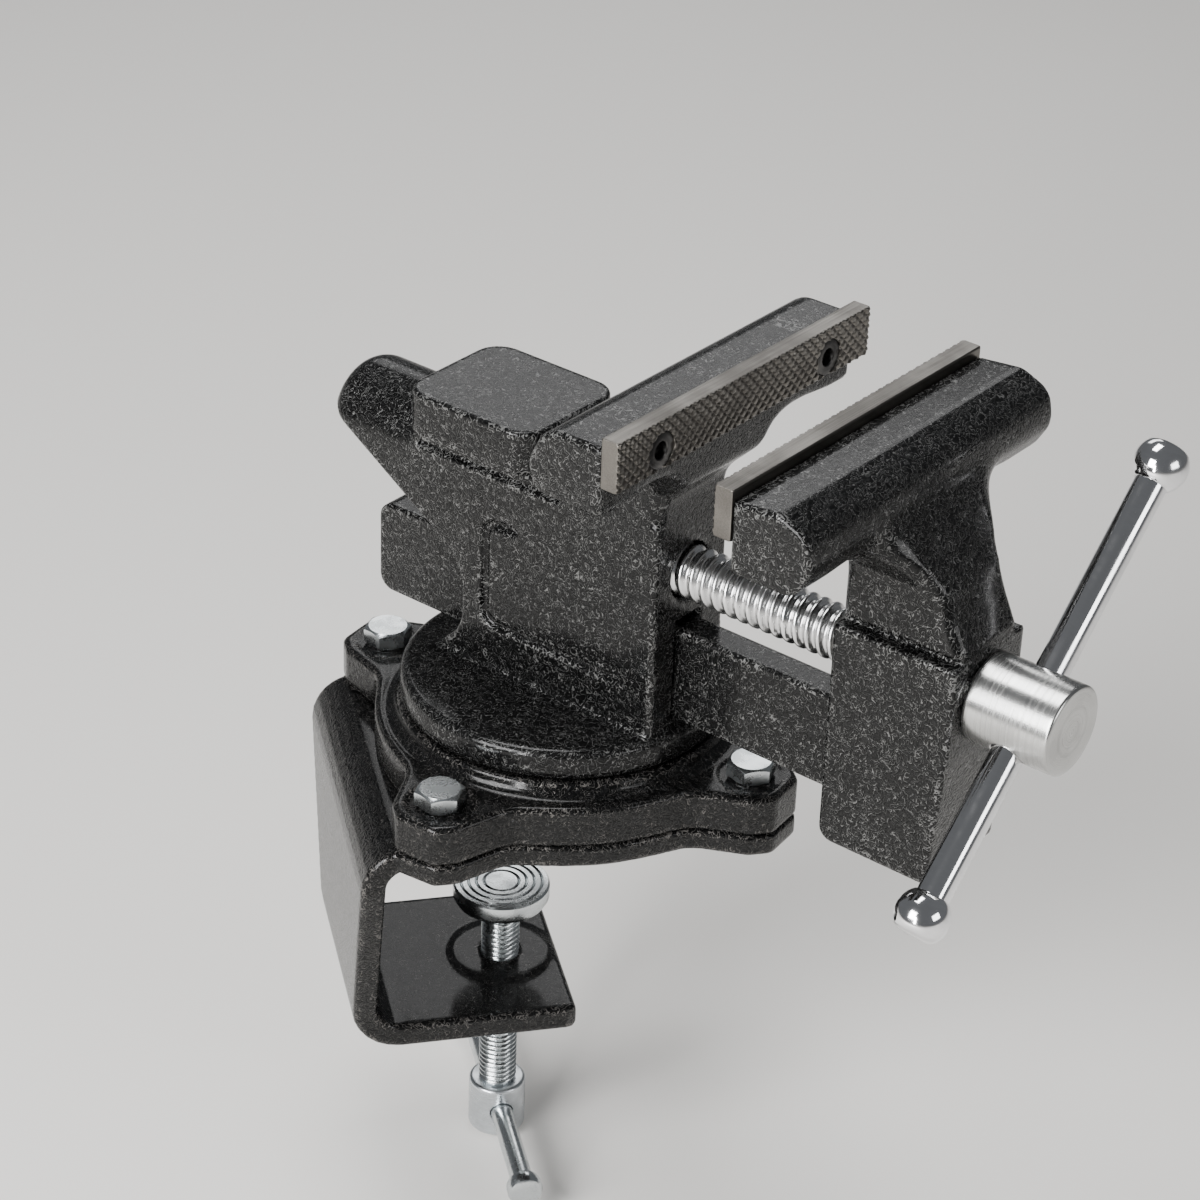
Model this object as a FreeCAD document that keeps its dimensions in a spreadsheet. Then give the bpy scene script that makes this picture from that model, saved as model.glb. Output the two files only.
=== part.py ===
"""Swivel bench vise with a C-clamp foot, as a parametric FreeCAD document.

Frame: origin on the swivel axis at the bench face, +Z up, +X along the jaws,
-Y toward the handle.  Millimetres.  The clamp foot is modelled square to its own
axes (+X into the bench, +Y along its edge) and placed turned about Z.
"""
import FreeCAD, Part
import math
import os
import Sketcher

os.makedirs("parts", exist_ok=True)
doc = FreeCAD.newDocument("bench_vise")
sheet = doc.addObject("Spreadsheet::Sheet", "dims")
sheet.Label = "dims"

# Every size that can be chosen by itself: alias, millimetres or degrees, meaning.
SIZES = [
    ("foot_turn", -38.7, "angle of the clamp foot about Z, relative to the head"),
    ("plate_thick", 7, "top plate of the clamp bracket"),
    ("foot_waist", 51.3, "half width of plate and base between the lugs"),
    ("foot_round", 56.8, "radius of the round bulges between the lugs"),
    ("lug_start", 24.6, "where the waist turns out to a lug"),
    ("lug_side", 43, "start of a lug's flat side"),
    ("lug_corner", 50, "start of a lug's corner chamfer"),
    ("lug_reach", 59.5, "half width over the lugs"),
    ("bolt_spread", 46, "bolt position from the centre, both ways"),
    ("bolt_rad", 4, "foot bolt shank"),
    ("bolt_flat", 13, "across flats of the foot bolts"),
    ("bolt_head", 5.4, "foot bolt head height"),
    ("eye_rad", 13, "blind recess in the plate round the pivot bolt head"),
    ("eye_deep", 4, "depth of that recess"),
    ("web_out", 69.5, "outer face of the bracket's web"),
    ("web_thick", 7.4, "bracket web"),
    ("arm_thick", 7.5, "lower arm"),
    ("mouth_depth", 69, "bench face down to the lower arm"),
    ("web_top_half", 50, "half width of the web at the top"),
    ("arm_half", 33, "half width of the lower arm"),
    ("bracket_round", 12, "outer corner radius of the bracket"),
    ("screw_place", 18, "clamp screw axis, back from the swivel axis"),
    ("boss_rad", 15, "boss round the clamp screw"),
    ("boss_drop", 9, "boss below the lower arm"),
    ("base_thick", 13, "swivel base flange"),
    ("ring_rad", 50, "raised ring of the swivel base"),
    ("ring_high", 4.5, "raised ring height"),
    ("spigot_rad", 20, "spigot under the turntable"),
    ("recess_rad", 24, "recess under the base for the pivot washer"),
    ("recess_deep", 5, "depth of that recess"),
    ("turn_gap", 0.3, "gap under the turntable"),
    ("run_fit", 0.05, "radial clearance of a turning or sliding fit"),
    ("free_gap", 0.3, "clearance between parts that only pass each other"),
    ("disc_rad", 49.2, "turntable radius"),
    ("disc_thick", 9.7, "turntable thickness"),
    ("body_half", 16.5, "half width of the body column"),
    ("body_front", 44.5, "front face of the column"),
    ("body_rear", 27.4, "rear face of the column"),
    ("foot_flare", 36.5, "rear edge of the column's foot"),
    ("waist_rise", 32.5, "where the rear face turns into the horn's underside"),
    ("horn_reach", 73, "rear end of the horn's underside"),
    ("horn_rise", 63, "height of that end above the turntable"),
    ("horn_axis", 60, "centre of the horn above the turntable"),
    ("horn_nose", 82, "nose of the horn"),
    ("saddle_rise", 69.5, "saddle between anvil and jaw, above the turntable"),
    ("anvil_half", 21.3, "half width of the anvil"),
    ("anvil_front", 0.9, "front edge of the anvil, in front of the axis"),
    ("anvil_rear", 47.2, "rear edge of the anvil"),
    ("anvil_rise", 84, "anvil face above the turntable"),
    ("anvil_round", 8, "anvil corner radius"),
    ("jaw_wide", 114.3, "jaw width"),
    ("jaw_rise", 117.5, "top of the jaw plates above the turntable"),
    ("jaw_plate_high", 15, "jaw plate height"),
    ("jaw_plate_thick", 6, "jaw plate thickness"),
    ("jaw_face", 61, "gripping face of the fixed jaw, in front of the axis"),
    ("jaw_open", 31, "opening as modelled"),
    ("plate_proud", 3.5, "jaw plate above its casting"),
    ("roll_deep", 25, "jaw casting, front to back"),
    ("roll_high", 21.5, "jaw casting height at its ends"),
    ("arch_rad", 15, "arch between a jaw's underside and its neck"),
    ("jaw_screw_at", 38, "jaw screw, out from the middle"),
    ("jaw_screw_rad", 3, "jaw screw shank"),
    ("jaw_screw_head", 5.4, "jaw screw head radius"),
    ("bar_half", 5.2, "half width of the slide bar"),
    ("bar_high", 30, "slide bar height"),
    ("bar_rise", 2, "slide bar above the turntable"),
    ("bar_rear", 70, "rear end of the slide bar"),
    ("bar_head_room", 2.2, "opening above the slide bar"),
    ("block_half", 17, "half width of the front block"),
    ("neck_half", 14.5, "half width of the neck above the block"),
    ("neck_fall_low", 4, "fall of the neck's front behind the block's front, low"),
    ("neck_rise_low", 10.5, "height of that point above the ledge"),
    ("neck_fall_mid", 7.5, "fall of the neck's front, halfway"),
    ("neck_rise_mid", 19, "height of that point above the ledge"),
    ("neck_fall_top", 14, "fall of the neck's front near the jaw"),
    ("neck_rise_top", 28.5, "height of that point above the ledge"),
    ("block_back", 105, "rear face of the front block"),
    ("block_front", 144.5, "front face at the screw"),
    ("block_toe", 141, "front face at the bottom"),
    ("block_drop", 6, "bottom of the block below the turntable's top"),
    ("slant_low", 64, "top of the upright front face above the turntable"),
    ("screw_rise", 49.3, "lead screw axis above the turntable"),
    ("screw_rad", 8, "lead screw"),
    ("screw_rear", 60, "rear end of the lead screw"),
    ("head_rad", 13, "lead screw head"),
    ("head_long", 27, "lead screw head length"),
    ("ring_wall", 4.2, "wall of the retaining ring"),
    ("ring_wide", 6.4, "width of the retaining ring"),
    ("pin_rad", 1.5, "retaining pin"),
    ("nut_wall", 4.2, "wall of the lead nut"),
    ("nut_long", 22, "lead nut length"),
    ("nut_wall_front", 8, "casting in front of the lead nut"),
    ("set_rad", 3, "set screw of the lead nut"),
    ("handle_turn", 43.4, "handle angle up from the jaw line"),
    ("handle_rad", 4.7, "handle rod"),
    ("handle_span", 138.5, "between the knob centres"),
    ("handle_shift", 7.8, "how far the rod has slid"),
    ("handle_place", 13.5, "cross hole, in front of the head's shoulder"),
    ("knob_rad", 7.8, "handle knob"),
    ("knob_flat", 5.6, "knob's end face from its centre"),
    ("lock_rise", 6.5, "lock screw above the base's underside"),
    ("lock_rad", 4, "lock screw"),
    ("hub_rad", 7, "lever hub"),
    ("hub_thick", 8, "lever hub thickness"),
    ("lever_long", 34, "lever, hub to tip"),
    ("lever_rad", 3.2, "lever rod"),
    ("bench_thick", 42, "bench thickness as modelled"),
    ("pad_rad", 15, "clamp pad"),
    ("pad_thick", 7, "clamp pad thickness"),
    ("ball_rad", 5, "ball end of the clamp screw"),
    ("clamp_rad", 6, "clamp screw"),
    ("clamp_rise", 30, "how far the clamp pad can rise"),
    ("clamp_head_rad", 9, "clamp screw head"),
    ("clamp_head_long", 18, "clamp screw head length"),
    ("tee_rad", 3.5, "sliding T-bar"),
    ("tee_long", 86, "T-bar length between its knobs"),
    ("tee_knob", 5.5, "T-bar knob"),
]
for line, (alias, value, meaning) in enumerate(SIZES, start=1):
    sheet.set("A%d" % line, meaning)
    sheet.set("B%d" % line, str(value))
    sheet.setAlias("B%d" % line, alias)

# Sizes that follow from the ones above.
DERIVED = [
    ("base_top", "=plate_thick + base_thick"),
    ("deck_under", "=base_top + ring_high + turn_gap"),
    ("deck", "=deck_under + disc_thick"),
    ("ledge", "=plate_thick + recess_deep"),
    ("jaw_top", "=deck + jaw_rise"),
    ("cast_top", "=jaw_top - plate_proud"),
    ("cast_low", "=cast_top - roll_high"),
    ("plate_low", "=jaw_top - jaw_plate_high"),
    ("move_face", "=jaw_face + jaw_open"),
    ("screw_high", "=deck + screw_rise"),
    ("bar_low", "=deck + bar_rise"),
    ("bar_top", "=bar_low + bar_high"),
    ("arm_low", "=mouth_depth + arm_thick"),
    ("handle_front", "=block_front + free_gap + handle_place"),
    ("clamp_top", "=bench_thick + 2"),
    ("clamp_end", "=arm_low + boss_drop + clamp_rise + 2"),
    ("nut_front", "=body_front - nut_wall_front"),
]
for line, (alias, formula) in enumerate(DERIVED, start=len(SIZES) + 2):
    sheet.set("B%d" % line, formula)
    sheet.setAlias("B%d" % line, alias)
doc.recompute()


def bind(thing, **formulas):
    """Tie properties to sheet formulas; a double underscore stands for a dot."""
    for name, formula in formulas.items():
        thing.setExpression(name.replace("__", "."), formula)


def place(thing, across="0", along="0", high="0"):
    """Tie an object's position to sheet formulas."""
    bind(thing, Placement__Base__x=across, Placement__Base__y=along, Placement__Base__z=high)


def turn_foot(thing):
    """Turn a piece of the clamp foot about the swivel axis."""
    thing.Placement = FreeCAD.Placement(FreeCAD.Vector(), FreeCAD.Rotation(FreeCAD.Vector(0, 0, 1), 1))
    bind(thing, Placement__Rotation__Angle="dims.foot_turn")


def new_body(label):
    """An empty PartDesign body with its own label."""
    body = doc.addObject("PartDesign::Body", label)
    body.Label = label
    return body


def new_sketch(body, role, offset="0"):
    """A sketch on one of the body's own origin planes, moved along its normal."""
    plane = [item for item in body.Origin.OriginFeatures if item.Role == role][0]
    sketch = body.newObject("Sketcher::SketchObject", body.Label + "_sketch")
    sketch.AttachmentSupport = [(plane, "")]
    sketch.MapMode = "FlatFace"
    bind(sketch, AttachmentOffset__Base__z=offset)
    return sketch


def draw_polygon(sketch, corners):
    """A closed polygon whose corners are held at sheet formulas."""
    first = sketch.GeometryCount
    count = len(corners)
    turns = [2 * math.pi * step / count for step in range(count)]
    ring = [FreeCAD.Vector(-math.cos(turn), -math.sin(turn), 0) for turn in turns]
    for step in range(count):
        sketch.addGeometry(Part.LineSegment(ring[step], ring[(step + 1) % count]))
    for step in range(count):
        after = first + (step + 1) % count
        sketch.addConstraint(Sketcher.Constraint("Coincident", first + step, 2, after, 1))
    for step, corner in enumerate(corners):
        for kind, formula in zip(("DistanceX", "DistanceY"), corner):
            index = sketch.addConstraint(Sketcher.Constraint(kind, first + step, 1, 1.0))
            sketch.setExpression("Constraints[%d]" % index, formula)


def draw_circle(sketch, across, along, radius):
    """A circle held at sheet formulas."""
    normal = FreeCAD.Vector(0, 0, 1)
    index = sketch.addGeometry(Part.Circle(FreeCAD.Vector(1, 1, 0), normal, 1))
    rules = (("DistanceX", across), ("DistanceY", along))
    for kind, formula in rules:
        held = sketch.addConstraint(Sketcher.Constraint(kind, index, 3, 1.0))
        sketch.setExpression("Constraints[%d]" % held, formula)
    held = sketch.addConstraint(Sketcher.Constraint("Radius", index, 1.0))
    sketch.setExpression("Constraints[%d]" % held, radius)


def pad(body, sketch, length, both_ways=False, reverse=False):
    """Extrude a sketch into material."""
    feature = body.newObject("PartDesign::Pad", body.Label + "_pad")
    feature.Profile = sketch
    feature.Midplane = both_ways
    feature.Reversed = reverse
    bind(feature, Length=length)
    sketch.Visibility = False
    doc.recompute()
    return feature


def pocket(body, sketch, length, both_ways=False, reverse=False):
    """Extrude a sketch as a cut and make sure that it removes something."""
    before = body.Shape.Volume
    feature = body.newObject("PartDesign::Pocket", body.Label + "_pocket")
    feature.Profile = sketch
    feature.Midplane = both_ways
    feature.Reversed = reverse
    bind(feature, Length=length)
    doc.recompute()
    if body.Shape.Volume > before - 0.5:
        raise RuntimeError("a pocket of %s cuts nothing" % body.Label)
    return feature


def fillet(body, radius, choose):
    """Round the edges of the body's tip that the given test picks."""
    tip = body.Tip
    names = ["Edge%d" % (i + 1) for i, edge in enumerate(tip.Shape.Edges) if choose(edge)]
    if not names:
        raise RuntimeError("no edge to round on %s" % body.Label)
    feature = body.newObject("PartDesign::Fillet", body.Label + "_fillet")
    feature.Base = (tip, names)
    bind(feature, Radius=radius)
    doc.recompute()
    return feature


def cell(alias):
    """The value of one cell of the sheet."""
    return float(sheet.get(alias))


def runs_along(edge, axis):
    """True for a straight edge parallel to a unit axis."""
    if not isinstance(edge.Curve, Part.Line):
        return False
    return abs(abs(edge.Curve.Direction.dot(axis)) - 1) < 1e-6


def middle(edge):
    """Midpoint of an edge."""
    first, last = edge.ParameterRange
    return edge.valueAt((first + last) / 2)


def cylinder(name, radius, length, axis="Z", across="0", along="0", high="0"):
    """A Part cylinder along an axis, starting at the given point."""
    rod = doc.addObject("Part::Cylinder", name)
    turns = {
        "Z": FreeCAD.Rotation(),
        "X": FreeCAD.Rotation(FreeCAD.Vector(0, 1, 0), 90),
        "Y": FreeCAD.Rotation(FreeCAD.Vector(1, 0, 0), -90),
        "-Y": FreeCAD.Rotation(FreeCAD.Vector(1, 0, 0), 90),
        "-Z": FreeCAD.Rotation(FreeCAD.Vector(1, 0, 0), 180),
    }
    rod.Placement = FreeCAD.Placement(FreeCAD.Vector(), turns[axis])
    bind(rod, Radius=radius, Height=length)
    place(rod, across, along, high)
    return rod


def fuse(label, pieces):
    """Join or group shapes; pieces that do not touch stay separate solids."""
    joined = doc.addObject("Part::MultiFuse", label)
    joined.Label = label
    joined.Shapes = pieces
    return joined


def carry(label, piece):
    """A labelled holder for one primitive, so that it can be turned as a whole."""
    holder = doc.addObject("Part::Compound", label)
    holder.Label = label
    holder.Links = [piece]
    return holder


def cut(label, base, tool):
    """Take one shape from another."""
    result = doc.addObject("Part::Cut", label)
    result.Label = label
    result.Base = base
    result.Tool = tool
    return result


X_AXIS = FreeCAD.Vector(1, 0, 0)
Y_AXIS = FreeCAD.Vector(0, 1, 0)
Z_AXIS = FreeCAD.Vector(0, 0, 1)


def lug_outline():
    """Corner points of the four-lug outline that plate and base share."""
    quarter = [
        ("dims.foot_waist", "dims.lug_start"),
        ("dims.lug_reach", "dims.lug_side"),
        ("dims.lug_reach", "dims.lug_corner"),
        ("dims.lug_corner", "dims.lug_reach"),
        ("dims.lug_side", "dims.lug_reach"),
        ("dims.lug_start", "dims.foot_waist"),
    ]
    corners = list(quarter)
    corners += [("-" + u, v) for u, v in reversed(quarter)]
    corners += [("-" + u, "-" + v) for u, v in quarter]
    corners += [(u, "-" + v) for u, v in reversed(quarter)]
    return corners


def lug_holes(body, radius, offset, depth):
    """The four bolt holes through a lug flange."""
    holes = new_sketch(body, "XY_Plane", offset)
    for u in ("dims.bolt_spread", "-dims.bolt_spread"):
        for v in ("dims.bolt_spread", "-dims.bolt_spread"):
            draw_circle(holes, u, v, radius)
    pocket(body, holes, depth, both_ways=True)


# ---------------------------------------------------------------- clamp foot
# Clamp bracket: one iron casting, a lugged top plate, a web that narrows downward
# and a lower arm with a threaded boss.
bracket = new_body("clamp_bracket")
plan = new_sketch(bracket, "XY_Plane")
draw_polygon(plan, lug_outline())
pad(bracket, plan, "dims.plate_thick")
bulge = new_sketch(bracket, "XY_Plane")
draw_circle(bulge, "0", "0", "dims.foot_round")
pad(bracket, bulge, "dims.plate_thick")
side = new_sketch(bracket, "XZ_Plane")
draw_polygon(side, [
    ("-dims.lug_start", "dims.plate_thick"),
    ("-dims.web_out", "dims.plate_thick"),
    ("-dims.web_out", "-dims.arm_low"),
    ("-dims.screw_place", "-dims.arm_low"),
    ("-dims.screw_place", "-dims.mouth_depth"),
    ("-(dims.web_out - dims.web_thick)", "-dims.mouth_depth"),
    ("-(dims.web_out - dims.web_thick)", "0"),
    ("-dims.lug_start", "0"),
])
pad(bracket, side, "dims.web_top_half * 2", both_ways=True)
taper = new_sketch(bracket, "YZ_Plane")
for sign in ("", "-"):
    draw_polygon(taper, [
        (sign + "dims.web_top_half", "-dims.plate_thick"),
        (sign + "(dims.web_top_half + dims.web_thick)", "-dims.plate_thick"),
        (sign + "(dims.web_top_half + dims.web_thick)", "-(dims.arm_low + 1)"),
        (sign + "dims.arm_half", "-(dims.arm_low + 1)"),
        (sign + "dims.arm_half", "-dims.mouth_depth"),
    ])
pocket(bracket, taper, "dims.web_out * 3", both_ways=True)
corner_x = cell("web_out")
fillet(bracket, "dims.bracket_round", lambda e: runs_along(e, Y_AXIS)
       and abs(middle(e).x + corner_x) < 0.01)
inner_x = cell("web_out") - cell("web_thick")
fillet(bracket, "dims.bracket_round / 2", lambda e: runs_along(e, Y_AXIS)
       and abs(middle(e).x + inner_x) < 0.01)
boss = new_sketch(bracket, "XY_Plane", "-(dims.arm_low + dims.boss_drop)")
draw_circle(boss, "-dims.screw_place", "0", "dims.boss_rad")
pad(bracket, boss, "dims.arm_thick + dims.boss_drop")
tap = new_sketch(bracket, "XY_Plane", "-dims.mouth_depth")
draw_circle(tap, "-dims.screw_place", "0", "dims.clamp_rad + dims.run_fit")
pocket(bracket, tap, "(dims.arm_thick + dims.boss_drop) * 3", both_ways=True)
eye = new_sketch(bracket, "XY_Plane", "dims.plate_thick")
draw_circle(eye, "0", "0", "dims.eye_rad")
pocket(bracket, eye, "dims.eye_deep")
lug_holes(bracket, "dims.bolt_rad", "0", "dims.plate_thick * 3")
turn_foot(bracket)

# Swivel base: lugged flange and raised ring, bored for the turntable's spigot,
# recessed below for the pivot washer and drilled for the lock screw.
base = new_body("swivel_base")
plan = new_sketch(base, "XY_Plane", "dims.plate_thick")
draw_polygon(plan, lug_outline())
pad(base, plan, "dims.base_thick")
bulge = new_sketch(base, "XY_Plane", "dims.plate_thick")
draw_circle(bulge, "0", "0", "dims.foot_round")
pad(base, bulge, "dims.base_thick")
ring = new_sketch(base, "XY_Plane", "dims.plate_thick")
draw_circle(ring, "0", "0", "dims.ring_rad")
pad(base, ring, "dims.base_thick + dims.ring_high")
recess = new_sketch(base, "XY_Plane", "dims.plate_thick")
draw_circle(recess, "0", "0", "dims.recess_rad")
pocket(base, recess, "dims.recess_deep", reverse=True)
bore = new_sketch(base, "XY_Plane", "dims.plate_thick")
draw_circle(bore, "0", "0", "dims.spigot_rad + dims.run_fit")
pocket(base, bore, "dims.base_thick * 4", both_ways=True)
lug_holes(base, "dims.bolt_rad", "dims.plate_thick", "dims.base_thick * 4")
drill = new_sketch(base, "XZ_Plane")
draw_circle(drill, "0", "dims.ledge + dims.lock_rad + 1.4", "dims.lock_rad + dims.run_fit")
pocket(base, drill, "dims.foot_round * 2", reverse=False)
turn_foot(base)

# Foot bolts: four hexagon bolts through the base into the bracket plate.
bolt_parts = []
for u in ("dims.bolt_spread", "-dims.bolt_spread"):
    for v in ("dims.bolt_spread", "-dims.bolt_spread"):
        shank = cylinder("bolt_shank", "dims.bolt_rad", "dims.base_top - 0.5",
                         across=u, along=v, high="0.5")
        head = doc.addObject("Part::Prism", "bolt_head")
        head.Polygon = 6
        bind(head, Circumradius="dims.bolt_flat / 2 / cos(30)", Height="dims.bolt_head")
        place(head, u, v, "dims.base_top")
        bolt_parts += [shank, head]
base_bolts = fuse("base_bolts", bolt_parts)
turn_foot(base_bolts)

# Clamp pad: a swivelling foot that bears on the underside of the bench.
pad_disc = cylinder("pad_disc", "dims.pad_rad", "dims.pad_thick", "-Z",
                    "-dims.screw_place", "0", "-dims.bench_thick")
pad_cup = cylinder("pad_cup", "dims.ball_rad + dims.run_fit", "dims.pad_thick", "-Z",
                   "-dims.screw_place", "0", "-dims.clamp_top")
clamp_pad = cut("clamp_pad", pad_disc, pad_cup)
turn_foot(clamp_pad)

# Clamp screw: ball-ended screw with a cross-drilled head at its lower end.
clamp_tip = cylinder("clamp_tip", "dims.ball_rad", "dims.pad_thick + 1", "-Z",
                     "-dims.screw_place", "0", "-(dims.clamp_top + dims.free_gap)")
clamp_shank = cylinder("clamp_shank", "dims.clamp_rad",
                       "dims.clamp_end - dims.clamp_top - dims.pad_thick", "-Z",
                       "-dims.screw_place", "0", "-(dims.clamp_top + dims.pad_thick)")
clamp_head = cylinder("clamp_head", "dims.clamp_head_rad", "dims.clamp_head_long", "-Z",
                      "-dims.screw_place", "0", "-dims.clamp_end")
clamp_solid = fuse("clamp_solid", [clamp_tip, clamp_shank, clamp_head])
tee_height = "-(dims.clamp_end + dims.clamp_head_long / 2)"
tee_hole = cylinder("tee_hole", "dims.tee_rad + dims.run_fit", "dims.clamp_head_rad * 4", "Y",
                    "-dims.screw_place", "-dims.clamp_head_rad * 2", tee_height)
clamp_screw = cut("clamp_screw", clamp_solid, tee_hole)
turn_foot(clamp_screw)

# T-bar: rod that slides in the clamp screw's head, with a pressed knob at each end.
tee_rod = cylinder("tee_rod", "dims.tee_rad", "dims.tee_long", "Y",
                   "-dims.screw_place", "-dims.tee_long / 2", tee_height)
clamp_tee_bar = carry("clamp_tee_bar", tee_rod)
turn_foot(clamp_tee_bar)
knob_parts = []
for end in ("-(dims.tee_long / 2 + dims.tee_knob)", "dims.tee_long / 2"):
    knob_parts.append(cylinder("tee_knob", "dims.tee_knob", "dims.tee_knob", "Y",
                               "-dims.screw_place", end, tee_height))
tee_knobs = fuse("clamp_tee_knobs", knob_parts)
turn_foot(tee_knobs)

# Lock screw: threaded through the base's rim toward the spigot, and its hub and lever.
lock_high = "dims.ledge + dims.lock_rad + 1.4"
lock_rod = cylinder("lock_rod", "dims.lock_rad",
                    "dims.foot_round + 1 - dims.spigot_rad - dims.free_gap + dims.hub_thick", "Y",
                    "0", "dims.spigot_rad + dims.free_gap", lock_high)
lock_screw = carry("lock_screw", lock_rod)
turn_foot(lock_screw)
lever_hub = cylinder("lever_hub", "dims.hub_rad", "dims.hub_thick", "Y",
                     "0", "dims.foot_round + 1", lock_high)
lever_eye = cylinder("lever_eye", "dims.lock_rad", "dims.hub_thick * 3", "Y",
                     "0", "dims.foot_round - dims.hub_thick", lock_high)
lever_rod = cylinder("lever_rod", "dims.lever_rad", "dims.lever_long", "X",
                     "dims.lock_rad + 1", "dims.foot_round + 1 + dims.hub_thick / 2", lock_high)
lever_solid = fuse("lever_solid", [lever_hub, lever_rod])
lock_lever = cut("lock_lever", lever_solid, lever_eye)
turn_foot(lock_lever)

# ---------------------------------------------------------------- swivelling head
# Vise body: turntable, spigot, column, horn, anvil and fixed jaw in one casting.
vise = new_body("vise_body")
column = new_sketch(vise, "YZ_Plane")
draw_polygon(column, [
    ("-dims.body_front", "dims.deck_under + dims.disc_thick / 2"),
    ("dims.foot_flare", "dims.deck_under + dims.disc_thick / 2"),
    ("dims.foot_flare", "dims.deck"),
    ("dims.body_rear + 3", "dims.deck + 6"),
    ("dims.body_rear", "dims.deck + 13"),
    ("dims.body_rear", "dims.deck + dims.waist_rise"),
    ("dims.horn_reach", "dims.deck + dims.horn_rise - 3"),
    ("dims.horn_reach", "dims.deck + dims.saddle_rise"),
    ("-(dims.jaw_face - dims.jaw_plate_thick - dims.roll_deep)", "dims.deck + dims.saddle_rise"),
    ("-(dims.jaw_face - dims.jaw_plate_thick - dims.roll_deep)", "dims.cast_low"),
    ("-(dims.jaw_face - dims.jaw_plate_thick)", "dims.cast_low"),
    ("-(dims.jaw_face - dims.jaw_plate_thick)", "dims.cast_low - 6"),
    ("-dims.body_front", "dims.cast_low - 6 - dims.roll_deep / 2"),
])
pad(vise, column, "dims.body_half * 2", both_ways=True)
fillet(vise, "dims.body_half * 0.45", lambda e: runs_along(e, X_AXIS)
       and abs(middle(e).y - cell("body_rear")) < 0.01 and middle(e).z > cell("deck") + 20)
deck = new_sketch(vise, "XY_Plane", "dims.deck_under")
draw_circle(deck, "0", "0", "dims.disc_rad")
pad(vise, deck, "dims.disc_thick")
horn = new_sketch(vise, "XZ_Plane", "-dims.anvil_rear / 2")
draw_circle(horn, "0", "dims.deck + dims.horn_axis", "dims.body_half")
pad(vise, horn, "dims.horn_nose - dims.anvil_rear / 2", reverse=True)
slant = new_sketch(vise, "YZ_Plane")
draw_polygon(slant, [
    ("dims.body_rear", "dims.deck + dims.waist_rise"),
    ("dims.horn_nose", "dims.deck + dims.waist_rise + (dims.horn_nose - dims.body_rear)"
     " * (dims.horn_rise - dims.waist_rise - 3) / (dims.horn_reach - dims.body_rear)"),
    ("dims.horn_nose + 1", "dims.deck + dims.waist_rise"),
])
pocket(vise, slant, "dims.body_half * 4", both_ways=True)
nose_y = cell("horn_nose")
fillet(vise, "dims.body_half * 0.5", lambda e: isinstance(e.Curve, Part.Circle)
       and abs(middle(e).y - nose_y) < 0.01)
roll = new_sketch(vise, "XZ_Plane", "dims.jaw_face - dims.jaw_plate_thick - dims.roll_deep")


def jaw_outline(neck):
    """Front view of a jaw: straight underside, quarter-round arches in four flats, neck."""
    corners = [("dims.jaw_wide / 2", "dims.cast_top"), ("dims.jaw_wide / 2", "dims.cast_low")]
    for angle in (0, 22.5, 45, 67.5, 90):
        out = 1 - math.sin(math.radians(angle))
        down = 1 - math.cos(math.radians(angle))
        corners.append(("%s + dims.arch_rad * %.4f" % (neck, out),
                        "dims.cast_low - dims.arch_rad * %.4f" % down))
    return corners + [("-(%s)" % x, z) for x, z in reversed(corners)]


draw_polygon(roll, jaw_outline("dims.body_half"))
pad(vise, roll, "dims.roll_deep")
jaw_back = -(cell("jaw_face") - cell("jaw_plate_thick") - cell("roll_deep"))
top_z = cell("cast_top")
fillet(vise, "dims.roll_high * 0.45", lambda e: runs_along(e, X_AXIS)
       and abs(middle(e).y - jaw_back) < 0.01 and abs(middle(e).z - top_z) < 0.01)
undercut = new_sketch(vise, "YZ_Plane")
draw_polygon(undercut, [
    ("-(dims.jaw_face - dims.jaw_plate_thick + 1)", "dims.cast_low - 6"),
    ("-(dims.jaw_face - dims.jaw_plate_thick)", "dims.cast_low - 6"),
    ("-dims.body_front", "dims.cast_low - 6 - dims.roll_deep / 2"),
    ("-dims.body_front", "dims.cast_low - dims.arch_rad - 12"),
    ("-(dims.jaw_face - dims.jaw_plate_thick + 1)", "dims.cast_low - dims.arch_rad - 12"),
])
pocket(vise, undercut, "dims.jaw_wide * 2", both_ways=True)
anvil = new_sketch(vise, "XY_Plane", "dims.deck + dims.saddle_rise - 0.5")
draw_polygon(anvil, [
    ("-dims.anvil_half", "-dims.anvil_front"),
    ("dims.anvil_half", "-dims.anvil_front"),
    ("dims.anvil_half", "dims.anvil_rear"),
    ("-dims.anvil_half", "dims.anvil_rear"),
])
pad(vise, anvil, "dims.anvil_rise - dims.saddle_rise + 0.5")
anvil_x = cell("anvil_half")
fillet(vise, "dims.anvil_round", lambda e: runs_along(e, Z_AXIS)
       and abs(abs(middle(e).x) - anvil_x) < 0.01 and middle(e).z > cell("deck") + 60)
spigot = new_sketch(vise, "XY_Plane", "dims.ledge - dims.free_gap")
draw_circle(spigot, "0", "0", "dims.spigot_rad")
pad(vise, spigot, "dims.deck_under - dims.ledge + dims.free_gap + 1")
slot = new_sketch(vise, "XZ_Plane")
draw_polygon(slot, [
    ("-(dims.bar_half + dims.free_gap)", "dims.bar_low - dims.free_gap"),
    ("dims.bar_half + dims.free_gap", "dims.bar_low - dims.free_gap"),
    ("dims.bar_half + dims.free_gap", "dims.bar_top + dims.bar_head_room"),
    ("-(dims.bar_half + dims.free_gap)", "dims.bar_top + dims.bar_head_room"),
])
pocket(vise, slot, "dims.body_front * 4", both_ways=True)
gallery = new_sketch(vise, "XZ_Plane", "dims.nut_front")
draw_circle(gallery, "0", "dims.screw_high", "dims.screw_rad + dims.nut_wall")
pocket(vise, gallery, "dims.nut_front + dims.horn_nose + 10")
mouth = new_sketch(vise, "XZ_Plane")
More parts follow.
